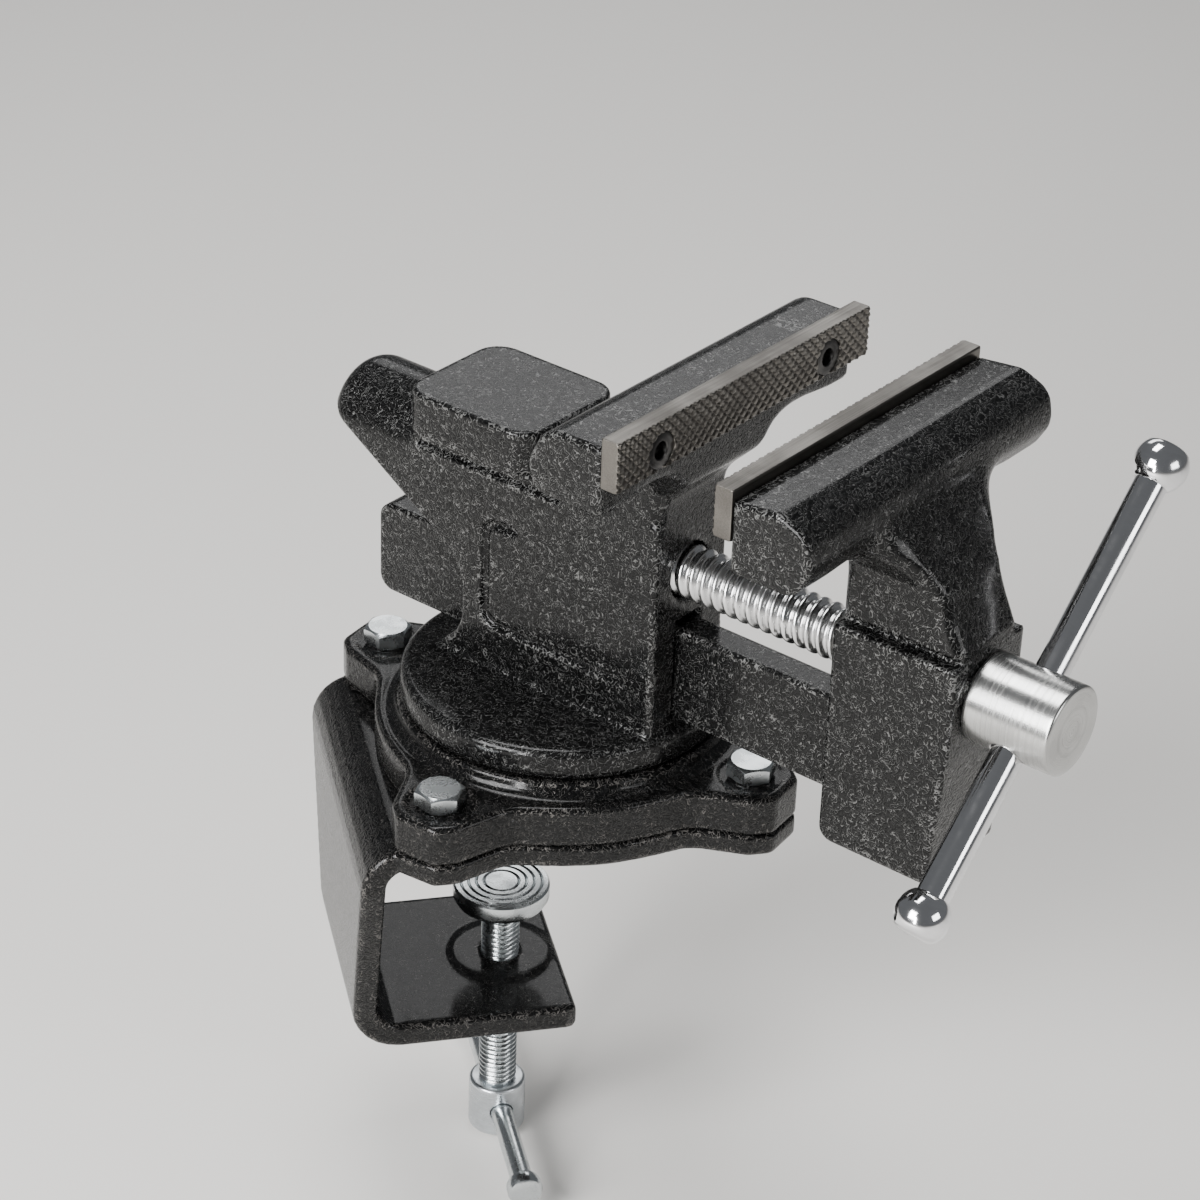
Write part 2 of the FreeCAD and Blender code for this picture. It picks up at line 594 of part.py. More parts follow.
draw_circle(mouth, "0", "dims.screw_high", "dims.screw_rad + dims.free_gap * 2")
pocket(vise, mouth, "dims.body_front + 1", reverse=True)
set_hole = new_sketch(vise, "XY_Plane", "dims.screw_high + dims.screw_rad + dims.nut_wall - 1")
draw_circle(set_hole, "0", "-(dims.nut_front - dims.nut_long / 2)", "dims.set_rad")
pocket(vise, set_hole, "dims.saddle_rise", reverse=True)
pivot_hole = new_sketch(vise, "XY_Plane", "dims.ledge - dims.free_gap")
draw_circle(pivot_hole, "0", "0", "dims.bolt_rad")
pocket(vise, pivot_hole, "dims.disc_thick + 10", reverse=True)
screw_holes = new_sketch(vise, "XZ_Plane", "dims.jaw_face")
for sign in ("-", ""):
    draw_circle(screw_holes, sign + "dims.jaw_screw_at",
                "(dims.plate_low + dims.cast_top) / 2", "dims.jaw_screw_rad")
pocket(vise, screw_holes, "dims.jaw_plate_thick + 14")

# Pivot bolt and washer: hold the spigot down from below, and turn with the head.
bolt_rod = cylinder("pivot_rod", "dims.bolt_rad", "dims.disc_thick + 9.5", "Z",
                    high="dims.ledge - dims.free_gap - 2")
bolt_cap = doc.addObject("Part::Prism", "pivot_cap")
bolt_cap.Polygon = 6
bind(bolt_cap, Circumradius="dims.bolt_flat / 2 / cos(30)", Height="dims.bolt_head")
place(bolt_cap, high="dims.ledge - dims.free_gap - 2 - dims.bolt_head")
pivot_bolt = fuse("pivot_bolt", [bolt_rod, bolt_cap])
washer_disc = cylinder("washer_disc", "dims.recess_rad - 1", "2", "Z",
                       high="dims.ledge - dims.free_gap - 2")
washer_hole = cylinder("washer_hole", "dims.bolt_rad", "dims.ledge * 3", "Z", high="0")
pivot_washer = cut("pivot_washer", washer_disc, washer_hole)

# Lead nut: round nut in the column, held by a set screw from the saddle.
nut_disc = cylinder("nut_disc", "dims.screw_rad + dims.nut_wall", "dims.nut_long", "Y",
                    "0", "-dims.nut_front", "dims.screw_high")
nut_bore = cylinder("nut_bore", "dims.screw_rad + dims.run_fit", "dims.nut_long * 3", "Y",
                    "0", "-dims.nut_front - dims.nut_long", "dims.screw_high")
lead_nut = cut("lead_nut", nut_disc, nut_bore)
nut_set_screw = cylinder("nut_set_screw", "dims.set_rad",
                         "dims.saddle_rise - dims.screw_rise - dims.screw_rad - dims.nut_wall - 1",
                         "Z", "0", "-(dims.nut_front - dims.nut_long / 2)",
                         "dims.screw_high + dims.screw_rad + dims.nut_wall")


def jaw_plate(label, face, facing):
    """A hardened jaw plate with two countersunk holes.

    face is the formula of the gripping face's distance in front of the axis;
    facing is 1 for a face toward the handle and -1 for one toward the body.
    """
    blank = doc.addObject("Part::Box", label + "_blank")
    bind(blank, Length="dims.jaw_wide", Width="dims.jaw_plate_thick", Height="dims.jaw_plate_high")
    back = "-(%s)" % face if facing > 0 else "-(%s) - dims.jaw_plate_thick" % face
    place(blank, "-dims.jaw_wide / 2", back, "dims.plate_low")
    holes = []
    for sign in ("-", ""):
        holes += screw_solids(label, sign, face, facing)
    return cut(label, blank, fuse(label + "_holes", holes))


def screw_solids(label, sign, face, facing):
    """Shank and countersunk head of one jaw screw, head flush inside the plate."""
    axis = "Y" if facing > 0 else "-Y"
    height = "(dims.plate_low + dims.cast_top) / 2"
    inset = "-(%s) + 0.6" % face if facing > 0 else "-(%s) - 0.6" % face
    far = "-(%s) + 0.6" % face if facing > 0 else "-(%s) - 0.6" % face
    shank = cylinder(label + "_shank", "dims.jaw_screw_rad", "dims.jaw_plate_thick + 11", axis,
                     sign + "dims.jaw_screw_at", far, height)
    cone = doc.addObject("Part::Cone", label + "_head")
    way = -90 if facing > 0 else 90
    cone.Placement = FreeCAD.Placement(FreeCAD.Vector(), FreeCAD.Rotation(X_AXIS, way))
    bind(cone, Radius1="dims.jaw_screw_head", Radius2="dims.jaw_screw_rad",
         Height="dims.jaw_screw_head - dims.jaw_screw_rad")
    place(cone, sign + "dims.jaw_screw_at", inset, height)
    return [shank, cone]


fixed_plate = jaw_plate("fixed_jaw_plate", "dims.jaw_face", 1)
fixed_screws = fuse("fixed_jaw_screws", screw_solids("fixed_screw", "-", "dims.jaw_face", 1)
                    + screw_solids("fixed_screw", "", "dims.jaw_face", 1))

# ---------------------------------------------------------------- sliding jaw
# Sliding jaw: jaw roll, arched neck, front block and slide bar in one casting.
slider = new_body("sliding_jaw")
block = new_sketch(slider, "YZ_Plane")
draw_polygon(block, [
    ("-dims.block_back", "dims.deck + dims.slant_low"),
    ("-dims.block_back", "dims.deck - dims.block_drop + 3"),
    ("-(dims.block_back + 3)", "dims.deck - dims.block_drop"),
    ("-dims.block_toe", "dims.deck - dims.block_drop"),
    ("-dims.block_front", "dims.screw_high - dims.head_rad"),
    ("-dims.block_front", "dims.deck + dims.slant_low"),
])
pad(slider, block, "dims.block_half * 2", both_ways=True)
neck = new_sketch(slider, "YZ_Plane")
draw_polygon(neck, [
    ("-(dims.move_face + dims.jaw_plate_thick)", "dims.cast_top"),
    ("-(dims.move_face + dims.jaw_plate_thick)", "dims.cast_low"),
    ("-dims.block_back", "dims.cast_low - 6"),
    ("-dims.block_back", "dims.deck + dims.slant_low - 1"),
    ("-dims.block_front", "dims.deck + dims.slant_low - 1"),
    ("-dims.block_front", "dims.deck + dims.slant_low"),
    ("-(dims.block_front - dims.neck_fall_low)", "dims.deck + dims.slant_low + dims.neck_rise_low"),
    ("-(dims.block_front - dims.neck_fall_mid)", "dims.deck + dims.slant_low + dims.neck_rise_mid"),
    ("-(dims.block_front - dims.neck_fall_top)", "dims.deck + dims.slant_low + dims.neck_rise_top"),
    ("-(dims.move_face + dims.jaw_plate_thick + dims.roll_deep)",
     "dims.deck + dims.slant_low + dims.neck_rise_top + dims.neck_fall_top / 2"),
    ("-(dims.move_face + dims.jaw_plate_thick + dims.roll_deep)", "dims.cast_top"),
])
pad(slider, neck, "dims.neck_half * 2", both_ways=True)
roll = new_sketch(slider, "XZ_Plane", "dims.move_face + dims.jaw_plate_thick")
draw_polygon(roll, jaw_outline("dims.neck_half"))
pad(slider, roll, "dims.roll_deep")
roll_front = -(cell("move_face") + cell("jaw_plate_thick") + cell("roll_deep"))
fillet(slider, "dims.roll_high * 0.45", lambda e: runs_along(e, X_AXIS)
       and abs(middle(e).y - roll_front) < 0.01 and abs(middle(e).z - top_z) < 0.01)
relief = new_sketch(slider, "YZ_Plane")
draw_polygon(relief, [
    ("-(dims.move_face + dims.jaw_plate_thick - 1)", "dims.cast_low"),
    ("-(dims.move_face + dims.jaw_plate_thick)", "dims.cast_low"),
    ("-dims.block_back", "dims.cast_low - 6"),
    ("-dims.block_back", "dims.cast_low - dims.arch_rad - 12"),
    ("-(dims.move_face + dims.jaw_plate_thick - 1)", "dims.cast_low - dims.arch_rad - 12"),
])
pocket(slider, relief, "dims.jaw_wide * 2", both_ways=True)
bar = new_sketch(slider, "XZ_Plane", "-dims.bar_rear")
draw_polygon(bar, [
    ("-dims.bar_half", "dims.bar_low"),
    ("dims.bar_half", "dims.bar_low"),
    ("dims.bar_half", "dims.bar_top"),
    ("-dims.bar_half", "dims.bar_top"),
])
pad(slider, bar, "dims.bar_rear + dims.block_back + 2")
bar_y = cell("bar_rear")
fillet(slider, "dims.bar_half", lambda e: runs_along(e, X_AXIS)
       and abs(middle(e).y - bar_y) < 0.01)
journal = new_sketch(slider, "XZ_Plane")
draw_circle(journal, "0", "dims.screw_high", "dims.screw_rad + dims.run_fit")
pocket(slider, journal, "dims.block_front + 5", reverse=True)
counterbore = new_sketch(slider, "XZ_Plane")
draw_circle(counterbore, "0", "dims.screw_high", "dims.screw_rad + dims.ring_wall + dims.free_gap")
pocket(slider, counterbore, "dims.block_back + dims.ring_wide + dims.free_gap * 2", reverse=True)
screw_holes = new_sketch(slider, "XZ_Plane", "dims.move_face")
for sign in ("-", ""):
    draw_circle(screw_holes, sign + "dims.jaw_screw_at",
                "(dims.plate_low + dims.cast_top) / 2", "dims.jaw_screw_rad")
pocket(slider, screw_holes, "dims.jaw_plate_thick + 14", reverse=True)

moving_plate = jaw_plate("moving_jaw_plate", "dims.move_face", -1)
moving_screws = fuse("moving_jaw_screws", screw_solids("moving_screw", "-", "dims.move_face", -1)
                     + screw_solids("moving_screw", "", "dims.move_face", -1))

# ---------------------------------------------------------------- lead screw
# Lead screw: threaded rod with a plain round head, cross-bored for the handle.
screw_rod = cylinder("screw_rod", "dims.screw_rad", "dims.block_front + dims.screw_rear + 1", "Y",
                     "0", "-(dims.block_front + 1)", "dims.screw_high")
screw_head = cylinder("screw_head", "dims.head_rad", "dims.head_long", "-Y",
                      "0", "-(dims.block_front + dims.free_gap)", "dims.screw_high")
screw_solid = fuse("screw_solid", [screw_rod, screw_head])


def handle_rod(name, radius, start, length):
    """A cylinder along the handle's direction, starting a given way from the screw axis."""
    rod = doc.addObject("Part::Cylinder", name)
    rod.Placement = FreeCAD.Placement(FreeCAD.Vector(), FreeCAD.Rotation(Y_AXIS, 45))
    bind(rod, Radius=radius, Height=length, Placement__Rotation__Angle="90 - dims.handle_turn")
    place(rod, "(%s) * cos(dims.handle_turn)" % start, "-dims.handle_front",
          "dims.screw_high + (%s) * sin(dims.handle_turn)" % start)
    return rod


cross_hole = handle_rod("cross_hole", "dims.handle_rad + dims.run_fit",
                        "-dims.head_rad * 2", "dims.head_rad * 4")
ring_back = "-(dims.block_back + dims.ring_wide + dims.free_gap)"
pin_length = "(dims.screw_rad + dims.ring_wall) * 2 - 1"
pin_start = "-(dims.screw_rad + dims.ring_wall) + 0.5"
pin_along = "-(dims.block_back + dims.ring_wide / 2 + dims.free_gap)"
pin_hole = cylinder("pin_hole", "dims.pin_rad", "dims.head_rad * 4", "X",
                    "-dims.head_rad * 2", pin_along, "dims.screw_high")
screw_cuts = fuse("screw_cuts", [cross_hole, pin_hole])
lead_screw = cut("lead_screw", screw_solid, screw_cuts)

# Retaining ring and its pin: hold the screw in the sliding jaw.
ring_disc = cylinder("ring_disc", "dims.screw_rad + dims.ring_wall", "dims.ring_wide", "Y",
                     "0", ring_back, "dims.screw_high")
ring_bore = cylinder("ring_bore", "dims.screw_rad", "dims.ring_wide * 3", "Y",
                     "0", ring_back + " - dims.ring_wide", "dims.screw_high")
ring_cross = cylinder("ring_cross", "dims.pin_rad", "dims.head_rad * 4", "X",
                      "-dims.head_rad * 2", pin_along, "dims.screw_high")
retaining_ring = cut("retaining_ring", ring_disc, fuse("ring_cuts", [ring_bore, ring_cross]))
retaining_pin = cylinder("retaining_pin", "dims.pin_rad", pin_length, "X", pin_start, pin_along,
                         "dims.screw_high")

# Handle: rod and two round knobs with flat ends.
rod_start = "dims.handle_shift - dims.handle_span / 2"
handle_bar = handle_rod("handle_bar", "dims.handle_rad", rod_start, "dims.handle_span")


def handle_knob(label, centre, outward):
    """A ball with a flat outer face, bored to its centre for the rod."""
    ball = doc.addObject("Part::Sphere", label + "_ball")
    ball.Placement = FreeCAD.Placement(FreeCAD.Vector(), FreeCAD.Rotation(Y_AXIS, 45))
    bind(ball, Radius="dims.knob_rad", Placement__Rotation__Angle="90 - dims.handle_turn")
    place(ball, "(%s) * cos(dims.handle_turn)" % centre, "-dims.handle_front",
          "dims.screw_high + (%s) * sin(dims.handle_turn)" % centre)
    beyond = "%s dims.knob_flat" % ("+" if outward else "-")
    if outward:
        face = handle_rod(label + "_face", "dims.knob_rad * 2", "(%s) %s" % (centre, beyond),
                          "dims.knob_rad")
        socket = handle_rod(label + "_socket", "dims.handle_rad", "(%s) - dims.knob_rad * 2" % centre,
                            "dims.knob_rad * 2")
    else:
        face = handle_rod(label + "_face", "dims.knob_rad * 2",
                          "(%s) - dims.knob_flat - dims.knob_rad" % centre, "dims.knob_rad")
        socket = handle_rod(label + "_socket", "dims.handle_rad", centre, "dims.knob_rad * 2")
    return cut(label, ball, fuse(label + "_cuts", [face, socket]))


knob_upper = handle_knob("handle_knob_upper", "dims.handle_shift + dims.handle_span / 2", True)
knob_lower = handle_knob("handle_knob_lower", "dims.handle_shift - dims.handle_span / 2", False)
doc.recompute()

# ---------------------------------------------------------------- write the nodes
NODES = [
    bracket, base, base_bolts, clamp_pad, clamp_screw, clamp_tee_bar, tee_knobs,
    lock_screw, lock_lever, vise, pivot_bolt, pivot_washer, lead_nut, nut_set_screw,
    fixed_plate, fixed_screws, slider, moving_plate, moving_screws,
    lead_screw, retaining_ring, retaining_pin, handle_bar, knob_upper, knob_lower,
]
for thing in doc.Objects:
    if "Invalid" in thing.State or "Error" in thing.State:
        raise RuntimeError("%s failed: %s" % (thing.Label, thing.State))
for node in NODES:
    if node.Shape.isNull() or not node.Shape.isValid() or not node.Shape.Solids:
        raise RuntimeError("%s has no valid solid" % node.Label)
    node.Shape.exportStep("parts/%s.step" % node.Label)
    box = node.Shape.BoundBox
    print("%-20s %d solid(s) %9.0f mm3  x %.1f..%.1f y %.1f..%.1f z %.1f..%.1f" % (
        node.Label, len(node.Shape.Solids), node.Shape.Volume,
        box.XMin, box.XMax, box.YMin, box.YMax, box.ZMin, box.ZMax))
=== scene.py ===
import math
import bpy
import numpy as np
from mathutils import Matrix


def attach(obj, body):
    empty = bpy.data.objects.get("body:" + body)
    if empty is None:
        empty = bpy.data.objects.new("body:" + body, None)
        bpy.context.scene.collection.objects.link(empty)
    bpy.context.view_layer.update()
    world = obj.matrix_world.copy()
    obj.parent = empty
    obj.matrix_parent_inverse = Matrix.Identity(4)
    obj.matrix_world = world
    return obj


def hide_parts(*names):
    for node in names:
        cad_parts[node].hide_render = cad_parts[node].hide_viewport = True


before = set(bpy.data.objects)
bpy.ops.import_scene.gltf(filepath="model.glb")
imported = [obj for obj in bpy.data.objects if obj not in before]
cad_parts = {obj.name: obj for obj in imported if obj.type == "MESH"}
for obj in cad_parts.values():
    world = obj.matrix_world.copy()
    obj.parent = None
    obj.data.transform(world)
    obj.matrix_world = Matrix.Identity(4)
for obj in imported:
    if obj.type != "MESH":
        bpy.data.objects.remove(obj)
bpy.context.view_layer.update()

# ---------------------------------------------------------------- studio
# A pale matt floor, five soft boxes and a long lens, a metre off, looking down
# thirty degrees at the vise from its left front.
LENS_MM = 102.2
EYE = (-0.6790, -0.5397, 0.5642)
RIGHT = (0.62817, -0.77739, 0.03264)
UP = (0.37516, 0.33937, 0.86261)
BACK = (-0.68166, -0.52962, 0.50482)
FLOOR_HIGH = -0.1372
FLOOR_HALF = 6

eye = bpy.data.cameras.new("eye")
eye.lens = LENS_MM
eye.sensor_width = 36
eye.clip_end = 30
camera = bpy.data.objects.new("eye", eye)
view = [[RIGHT[i], UP[i], BACK[i], EYE[i]] for i in range(3)]
camera.matrix_world = Matrix(view + [[0, 0, 0, 1]])
bpy.context.scene.collection.objects.link(camera)
bpy.context.scene.camera = camera


def soft_box(name, place, aim, size, power):
    """An area light at a place, turned so that it shines toward a point."""
    lamp = bpy.data.lights.new(name, "AREA")
    lamp.shape = "RECTANGLE"
    lamp.size, lamp.size_y = size
    lamp.energy = power
    holder = bpy.data.objects.new(name, lamp)
    back = np.array(place, float) - np.array(aim, float)
    back /= np.linalg.norm(back)
    side = np.cross((0, 0, 1), back)
    side /= np.linalg.norm(side)
    rise = np.cross(back, side)
    rows = [[side[i], rise[i], back[i], place[i]] for i in range(3)]
    holder.matrix_world = Matrix(rows + [[0, 0, 0, 1]])
    bpy.context.scene.collection.objects.link(holder)


CENTRE = (0, -0.03, 0.06)
soft_box("left_box", (-1.35, 0.15, 0.75), CENTRE, (0.7, 0.8), 38)
soft_box("front_box", (0.05, -1.5, 0.55), CENTRE, (0.8, 0.5), 7)
soft_box("back_box", (1.0, 0.78, 0.86), CENTRE, (0.8, 0.45), 3.5)
soft_box("top_box", (0.1, 0.35, 1.5), CENTRE, (0.8, 0.5), 14)
soft_box("side_strip", (-1.1, -0.25, 0.28), CENTRE, (0.12, 0.5), 7)

world = bpy.data.worlds.new("room")
bpy.context.scene.world = world
world.use_nodes = True
world.node_tree.nodes["Background"].inputs["Color"].default_value = (0.86, 0.89, 0.93, 1)
world.node_tree.nodes["Background"].inputs["Strength"].default_value = 0.16

floor_mesh = bpy.data.meshes.new("floor")
floor_mesh.from_pydata([(x * FLOOR_HALF, y * FLOOR_HALF, FLOOR_HIGH)
                        for x, y in ((-1, -1), (1, -1), (1, 1), (-1, 1))], [], [(0, 1, 2, 3)])
floor = bpy.data.objects.new("floor", floor_mesh)
bpy.context.scene.collection.objects.link(floor)
floor_paint = bpy.data.materials.new("floor_paint")
floor_paint.use_nodes = True
floor_shader = floor_paint.node_tree.nodes["Principled BSDF"]
floor_shader.inputs["Base Color"].default_value = (0.82, 0.80, 0.77, 1)
floor_shader.inputs["Roughness"].default_value = 0.85
floor_mesh.materials.append(floor_paint)

# ---------------------------------------------------------------- clamp bracket
# The foot's lower casting: a plate with four lugs that lies on the bench, a web that
# narrows as it goes down and an arm with a threaded boss.  Grey iron, cast in sand and
# stove-enamelled in black hammertone.
MM = 0.001
FOOT_TURN = math.radians(-38.7)
LUG_BOLT = 46.0
M8_HOLE = 4.05
BOSS_AT = -18
FAR = 99


def outline_distance(corners, u, v):
    """Distance from points to a closed outline, negative inside: the nearest of its
    straight sides, with the sign from how often a ray from the point crosses them."""
    near = None
    sign = 1.0
    for first, last in zip(corners, corners[1:] + corners[:1]):
        du, dv = last[0] - first[0], last[1] - first[1]
        pu, pv = u - first[0], v - first[1]
        along = np.clip((pu * du + pv * dv) / (du * du + dv * dv), 0, 1)
        gap = (pu - along * du) ** 2 + (pv - along * dv) ** 2
        near = gap if near is None else np.minimum(near, gap)
        above, below, left = v >= first[1], v < last[1], du * pv > dv * pu
        sign = np.where((above & below & left) | ~(above | below | left), -sign, sign)
    return sign * np.sqrt(near)


def round_corners(corners, radii, steps=4):
    """An outline with each corner replaced by an arc of its own radius."""
    result = []
    for index, (corner, radius) in enumerate(zip(corners, radii)):
        here = np.array(corner, float)
        if radius <= 0:
            result.append(tuple(here))
            continue
        before = np.array(corners[index - 1], float) - here
        after = np.array(corners[(index + 1) % len(corners)], float) - here
        before /= np.linalg.norm(before)
        after /= np.linalg.norm(after)
        half = math.acos(np.clip(before @ after, -1, 1)) / 2
        middle = (before + after) / np.linalg.norm(before + after)
        centre = here + middle * radius / math.sin(half)
        start = here + before * radius / math.tan(half)
        stop = here + after * radius / math.tan(half)
        low = math.atan2(*(start - centre)[::-1])
        turn = (math.atan2(*(stop - centre)[::-1]) - low + math.pi) % (2 * math.pi) - math.pi
        for step in range(steps + 1):
            angle = low + turn * step / steps
            result.append((centre[0] + radius * math.cos(angle),
                           centre[1] + radius * math.sin(angle)))
    return result


def meet(one, other, edge):
    """What two shapes share, with the edge where their skins meet rounded."""
    side, face = one + edge, other + edge
    return (np.minimum(np.maximum(side, face), 0)
            + np.hypot(np.maximum(side, 0), np.maximum(face, 0)) - edge)


def slab(flat, across, half, edge):
    """A plate of an outline: flat is the distance to the outline, across the way through
    it, half its half thickness; its edges are rounded by edge."""
    return meet(flat, np.abs(across) - half, edge)


def blend(one, other, radius):
    """Two shapes as one, with a fillet of the given radius where they meet."""
    return (np.maximum(np.minimum(one, other), radius)
            - np.hypot(np.maximum(radius - one, 0), np.maximum(radius - other, 0)))


def carve(shape, tool, edge):
    """A shape less a tool, with the new edges rounded."""
    return -blend(-shape, tool, edge)


def step_back(cubes_at, axis, back_one, back_two):
    """The cubes on one of the four sides of the grid edges that run along an axis."""
    index = [part.copy() for part in cubes_at]
    index[(axis + 1) % 3] -= back_one
    index[(axis + 2) % 3] -= back_two
    return tuple(index)


def net_surface(distance, low, high, cell):
    """Skin of a shape given by its distance function.

    The box is cut into cubes; each cube that the skin crosses holds one point, the mean
    of the crossings on its edges; cubes round a crossed edge are joined by a quad, and
    the points are drawn onto the skin along the slope of the distance.  The third result
    is nought on flat skin and one on a sharp outer edge, from how shallow the shape still
    is two millimetres under the point."""
    axes = [np.arange(a - 2 * cell, b + 3 * cell, cell) for a, b in zip(low, high)]
    x, y, z = axes[0][:, None, None], axes[1][None, :, None], axes[2][None, None, :]
    shape = tuple(len(axis) for axis in axes)
    depth = np.broadcast_to(distance(x, y, z), shape).astype(np.float32)
    inside = depth < 0
    cubes = tuple(count - 1 for count in shape)
    total, hits = np.zeros(cubes + (3,), np.float32), np.zeros(cubes, np.float32)
    quads = []
    for axis in range(3):
        lower = tuple(slice(0, -1) if k == axis else slice(None) for k in range(3))
        upper = tuple(slice(1, None) if k == axis else slice(None) for k in range(3))
        crossed = np.nonzero(inside[lower] != inside[upper])
        start, stop = depth[lower][crossed], depth[upper][crossed]
        point = np.stack([axes[k][crossed[k]] for k in range(3)], 1)
        point[:, axis] += cell * start / (start - stop)
        for back in ((0, 0), (0, 1), (1, 0), (1, 1)):
            cube = step_back(crossed, axis, *back)
            np.add.at(total, cube, point)
            np.add.at(hits, cube, 1)
        ring = np.stack([np.ravel_multi_index(step_back(crossed, axis, *back), cubes)
                         for back in ((1, 1), (0, 1), (0, 0), (1, 0))], 1)
        outward = inside[lower][crossed]
        quads.append(np.where(outward[:, None], ring, ring[:, ::-1]))
    used = hits.ravel() > 0
    number = np.cumsum(used) - 1
    points = (total.reshape(-1, 3)[used] / hits.ravel()[used, None]).astype(float)
    faces = number[np.concatenate(quads)]
    for _ in range(2):
        px, py, pz = points.T
        here = distance(px, py, pz)
        small = 0.02
        slope = np.stack([distance(px + small, py, pz) - here, distance(px, py + small, pz) - here,
                          distance(px, py, pz + small) - here], 1) / small
        length = np.maximum((slope ** 2).sum(1), 0.3)
        points -= np.clip(here / length, -cell / 2, cell / 2)[:, None] * slope
    under = points - 2 * slope / np.sqrt(length)[:, None]
    # This edge value later lightens the enamel on sharp outer edges: partly worn paint, partly a
    # painted highlight.
    edge = np.clip((1 + distance(*under.T) / 2) / 0.12 - 0.1, 0, 1)
    return points, faces, edge


def mesh_piece(name, points, faces, turn=0.0, sharp=None, marks=None, edge=None):
    """A smooth-shaded object from points in millimetres and arrays of faces, one array
    for each number of sides; marks gives each corner's place in a map of the surface."""
    points = np.array(points, float) * MM
    if turn:
        c, s = math.cos(turn), math.sin(turn)
        x, y = points[:, 0].copy(), points[:, 1].copy()
        points[:, 0], points[:, 1] = c * x - s * y, s * x + c * y
    groups = faces if isinstance(faces, list) else [faces]
    loops = np.concatenate([group.ravel() for group in groups]).astype(np.int32)
    sides = np.concatenate([np.full(len(group), group.shape[1]) for group in groups])
    starts = (np.cumsum(sides) - sides).astype(np.int32)
    mesh = bpy.data.meshes.new(name)
    mesh.vertices.add(len(points))
    mesh.vertices.foreach_set("co", points.ravel())
    mesh.loops.add(len(loops))
    mesh.loops.foreach_set("vertex_index", loops)
    mesh.polygons.add(len(sides))
    mesh.polygons.foreach_set("loop_start", starts)
    mesh.update(calc_edges=True)
    if marks is not None:
        layer = mesh.uv_layers.new(name="marks")
        layer.data.foreach_set("uv", np.asarray(marks, float).ravel())
    # The edge value lightens the enamel on sharp outer edges: partly wear, partly a painted
    # highlight.
    if edge is not None:
        worn = mesh.attributes.new("edge", "FLOAT", "POINT")
        worn.data.foreach_set("value", np.asarray(edge, np.float32))
    mesh.shade_smooth()
    if sharp:
        mesh.set_sharp_from_angle(angle=math.radians(sharp))
    piece = bpy.data.objects.new(name, mesh)
    bpy.context.scene.collection.objects.link(piece)
    return piece


def lugged_outline():
    """The plan of plate and base: a round with a lug at each corner, one quarter
    mirrored to the other three."""
    quarter = [(51.3, 24.6), (59.5, 43), (59.5, 50), (50, 59.5), (43, 59.5), (24.6, 51.3)]
    rounds = [6, 5, 4, 4, 5, 6]
    corners = quarter + [(-u, v) for u, v in quarter[::-1]]
    corners += [(-u, -v) for u, v in quarter] + [(u, -v) for u, v in quarter[::-1]]
    return round_corners(corners, rounds * 4, 3)


LUGGED = lugged_outline()


def lugged_distance(u, v):
    """Distance to the lugged plan: the outline joined to a round of 56.8 mm."""
    return blend(outline_distance(LUGGED, u, v), np.hypot(u, v) - 56.8, 5)


C_SHAPE = round_corners(
    [(-20, 7), (-69.5, 7), (-69.5, -76.5), (0, -76.5), (0, -69), (-62.1, -69), (-62.1, 0),
     (-20, 0)],
    [0, 14, 15, 2, 2, 8, 7, 0], 6)


def bracket_distance(u, v, w):
    """Plate, tapering C-shaped web and arm, and boss, less the holes."""
    plate = slab(lugged_distance(u, v), w - 3.5, 3.5, 1.6)
    half = 33 + 17 * np.clip((w + 69) / 62, 0, 1) ** 1.1
    web = slab(outline_distance(C_SHAPE, u, w), v, half, 1.6)
    arm_end = np.maximum(u - BOSS_AT, 0)
    web = np.maximum(web, np.where(w < -60, np.hypot(arm_end, v * 0.9) - 33, u + 20))
    shape = np.minimum(plate, web)
    boss = slab(np.hypot(u - BOSS_AT, v) - 15, w + 77.25, 8.25, 1.5)
    shape = blend(shape, boss, 3)
    shape = carve(shape, np.hypot(u - BOSS_AT, v) - 6.1, 0.6)
    for bu in (-LUG_BOLT, LUG_BOLT):
        for bv in (-LUG_BOLT, LUG_BOLT):
            hole = M8_HOLE - np.hypot(u - bu, v - bv)
            shape = np.maximum(shape, np.where(w > -8, hole, -FAR))
    return carve(shape, np.maximum(np.hypot(u, v) - 13, 3 - w), 0.5)


points, faces, edge = net_surface(bracket_distance, (-70, -60, -86), (60, 60, 7.5), 1.1)
bracket = mesh_piece("bracket", points, faces, FOOT_TURN, edge=edge)
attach(bracket, "foot")
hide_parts("clamp_bracket")


def new_group(name, inputs, outputs):
    """An empty shader node group with named sockets, and its two end nodes."""
    tree = bpy.data.node_groups.new(name, "ShaderNodeTree")
    for label, kind, value in inputs:
        socket = tree.interface.new_socket(label, in_out="INPUT", socket_type=kind)
        if value is not None:
            socket.default_value = value
    for label, kind in outputs:
        tree.interface.new_socket(label, in_out="OUTPUT", socket_type=kind)
    return tree, tree.nodes.new("NodeGroupInput"), tree.nodes.new("NodeGroupOutput")


def math_node(tree, operation, first, second=None, third=None):
    """A math node fed by sockets or numbers; returns its output."""
    node = tree.nodes.new("ShaderNodeMath")
    node.operation = operation
    for socket, value in zip(node.inputs, (first, second, third)):
        if value is None:
            continue
        if isinstance(value, (int, float)):
            socket.default_value = value
        else:
            tree.links.new(value, socket)
    return node.outputs[0]


def range_node(tree, value, low, high, to_low=0.0, to_high=1.0):
    """A smooth step from one range to another; returns its output."""
    node = tree.nodes.new("ShaderNodeMapRange")
    node.interpolation_type = "SMOOTHSTEP"
    tree.links.new(value, node.inputs["Value"])
    for label, number in (("From Min", low), ("From Max", high),
                          ("To Min", to_low), ("To Max", to_high)):
        node.inputs[label].default_value = number
    return node.outputs[0]


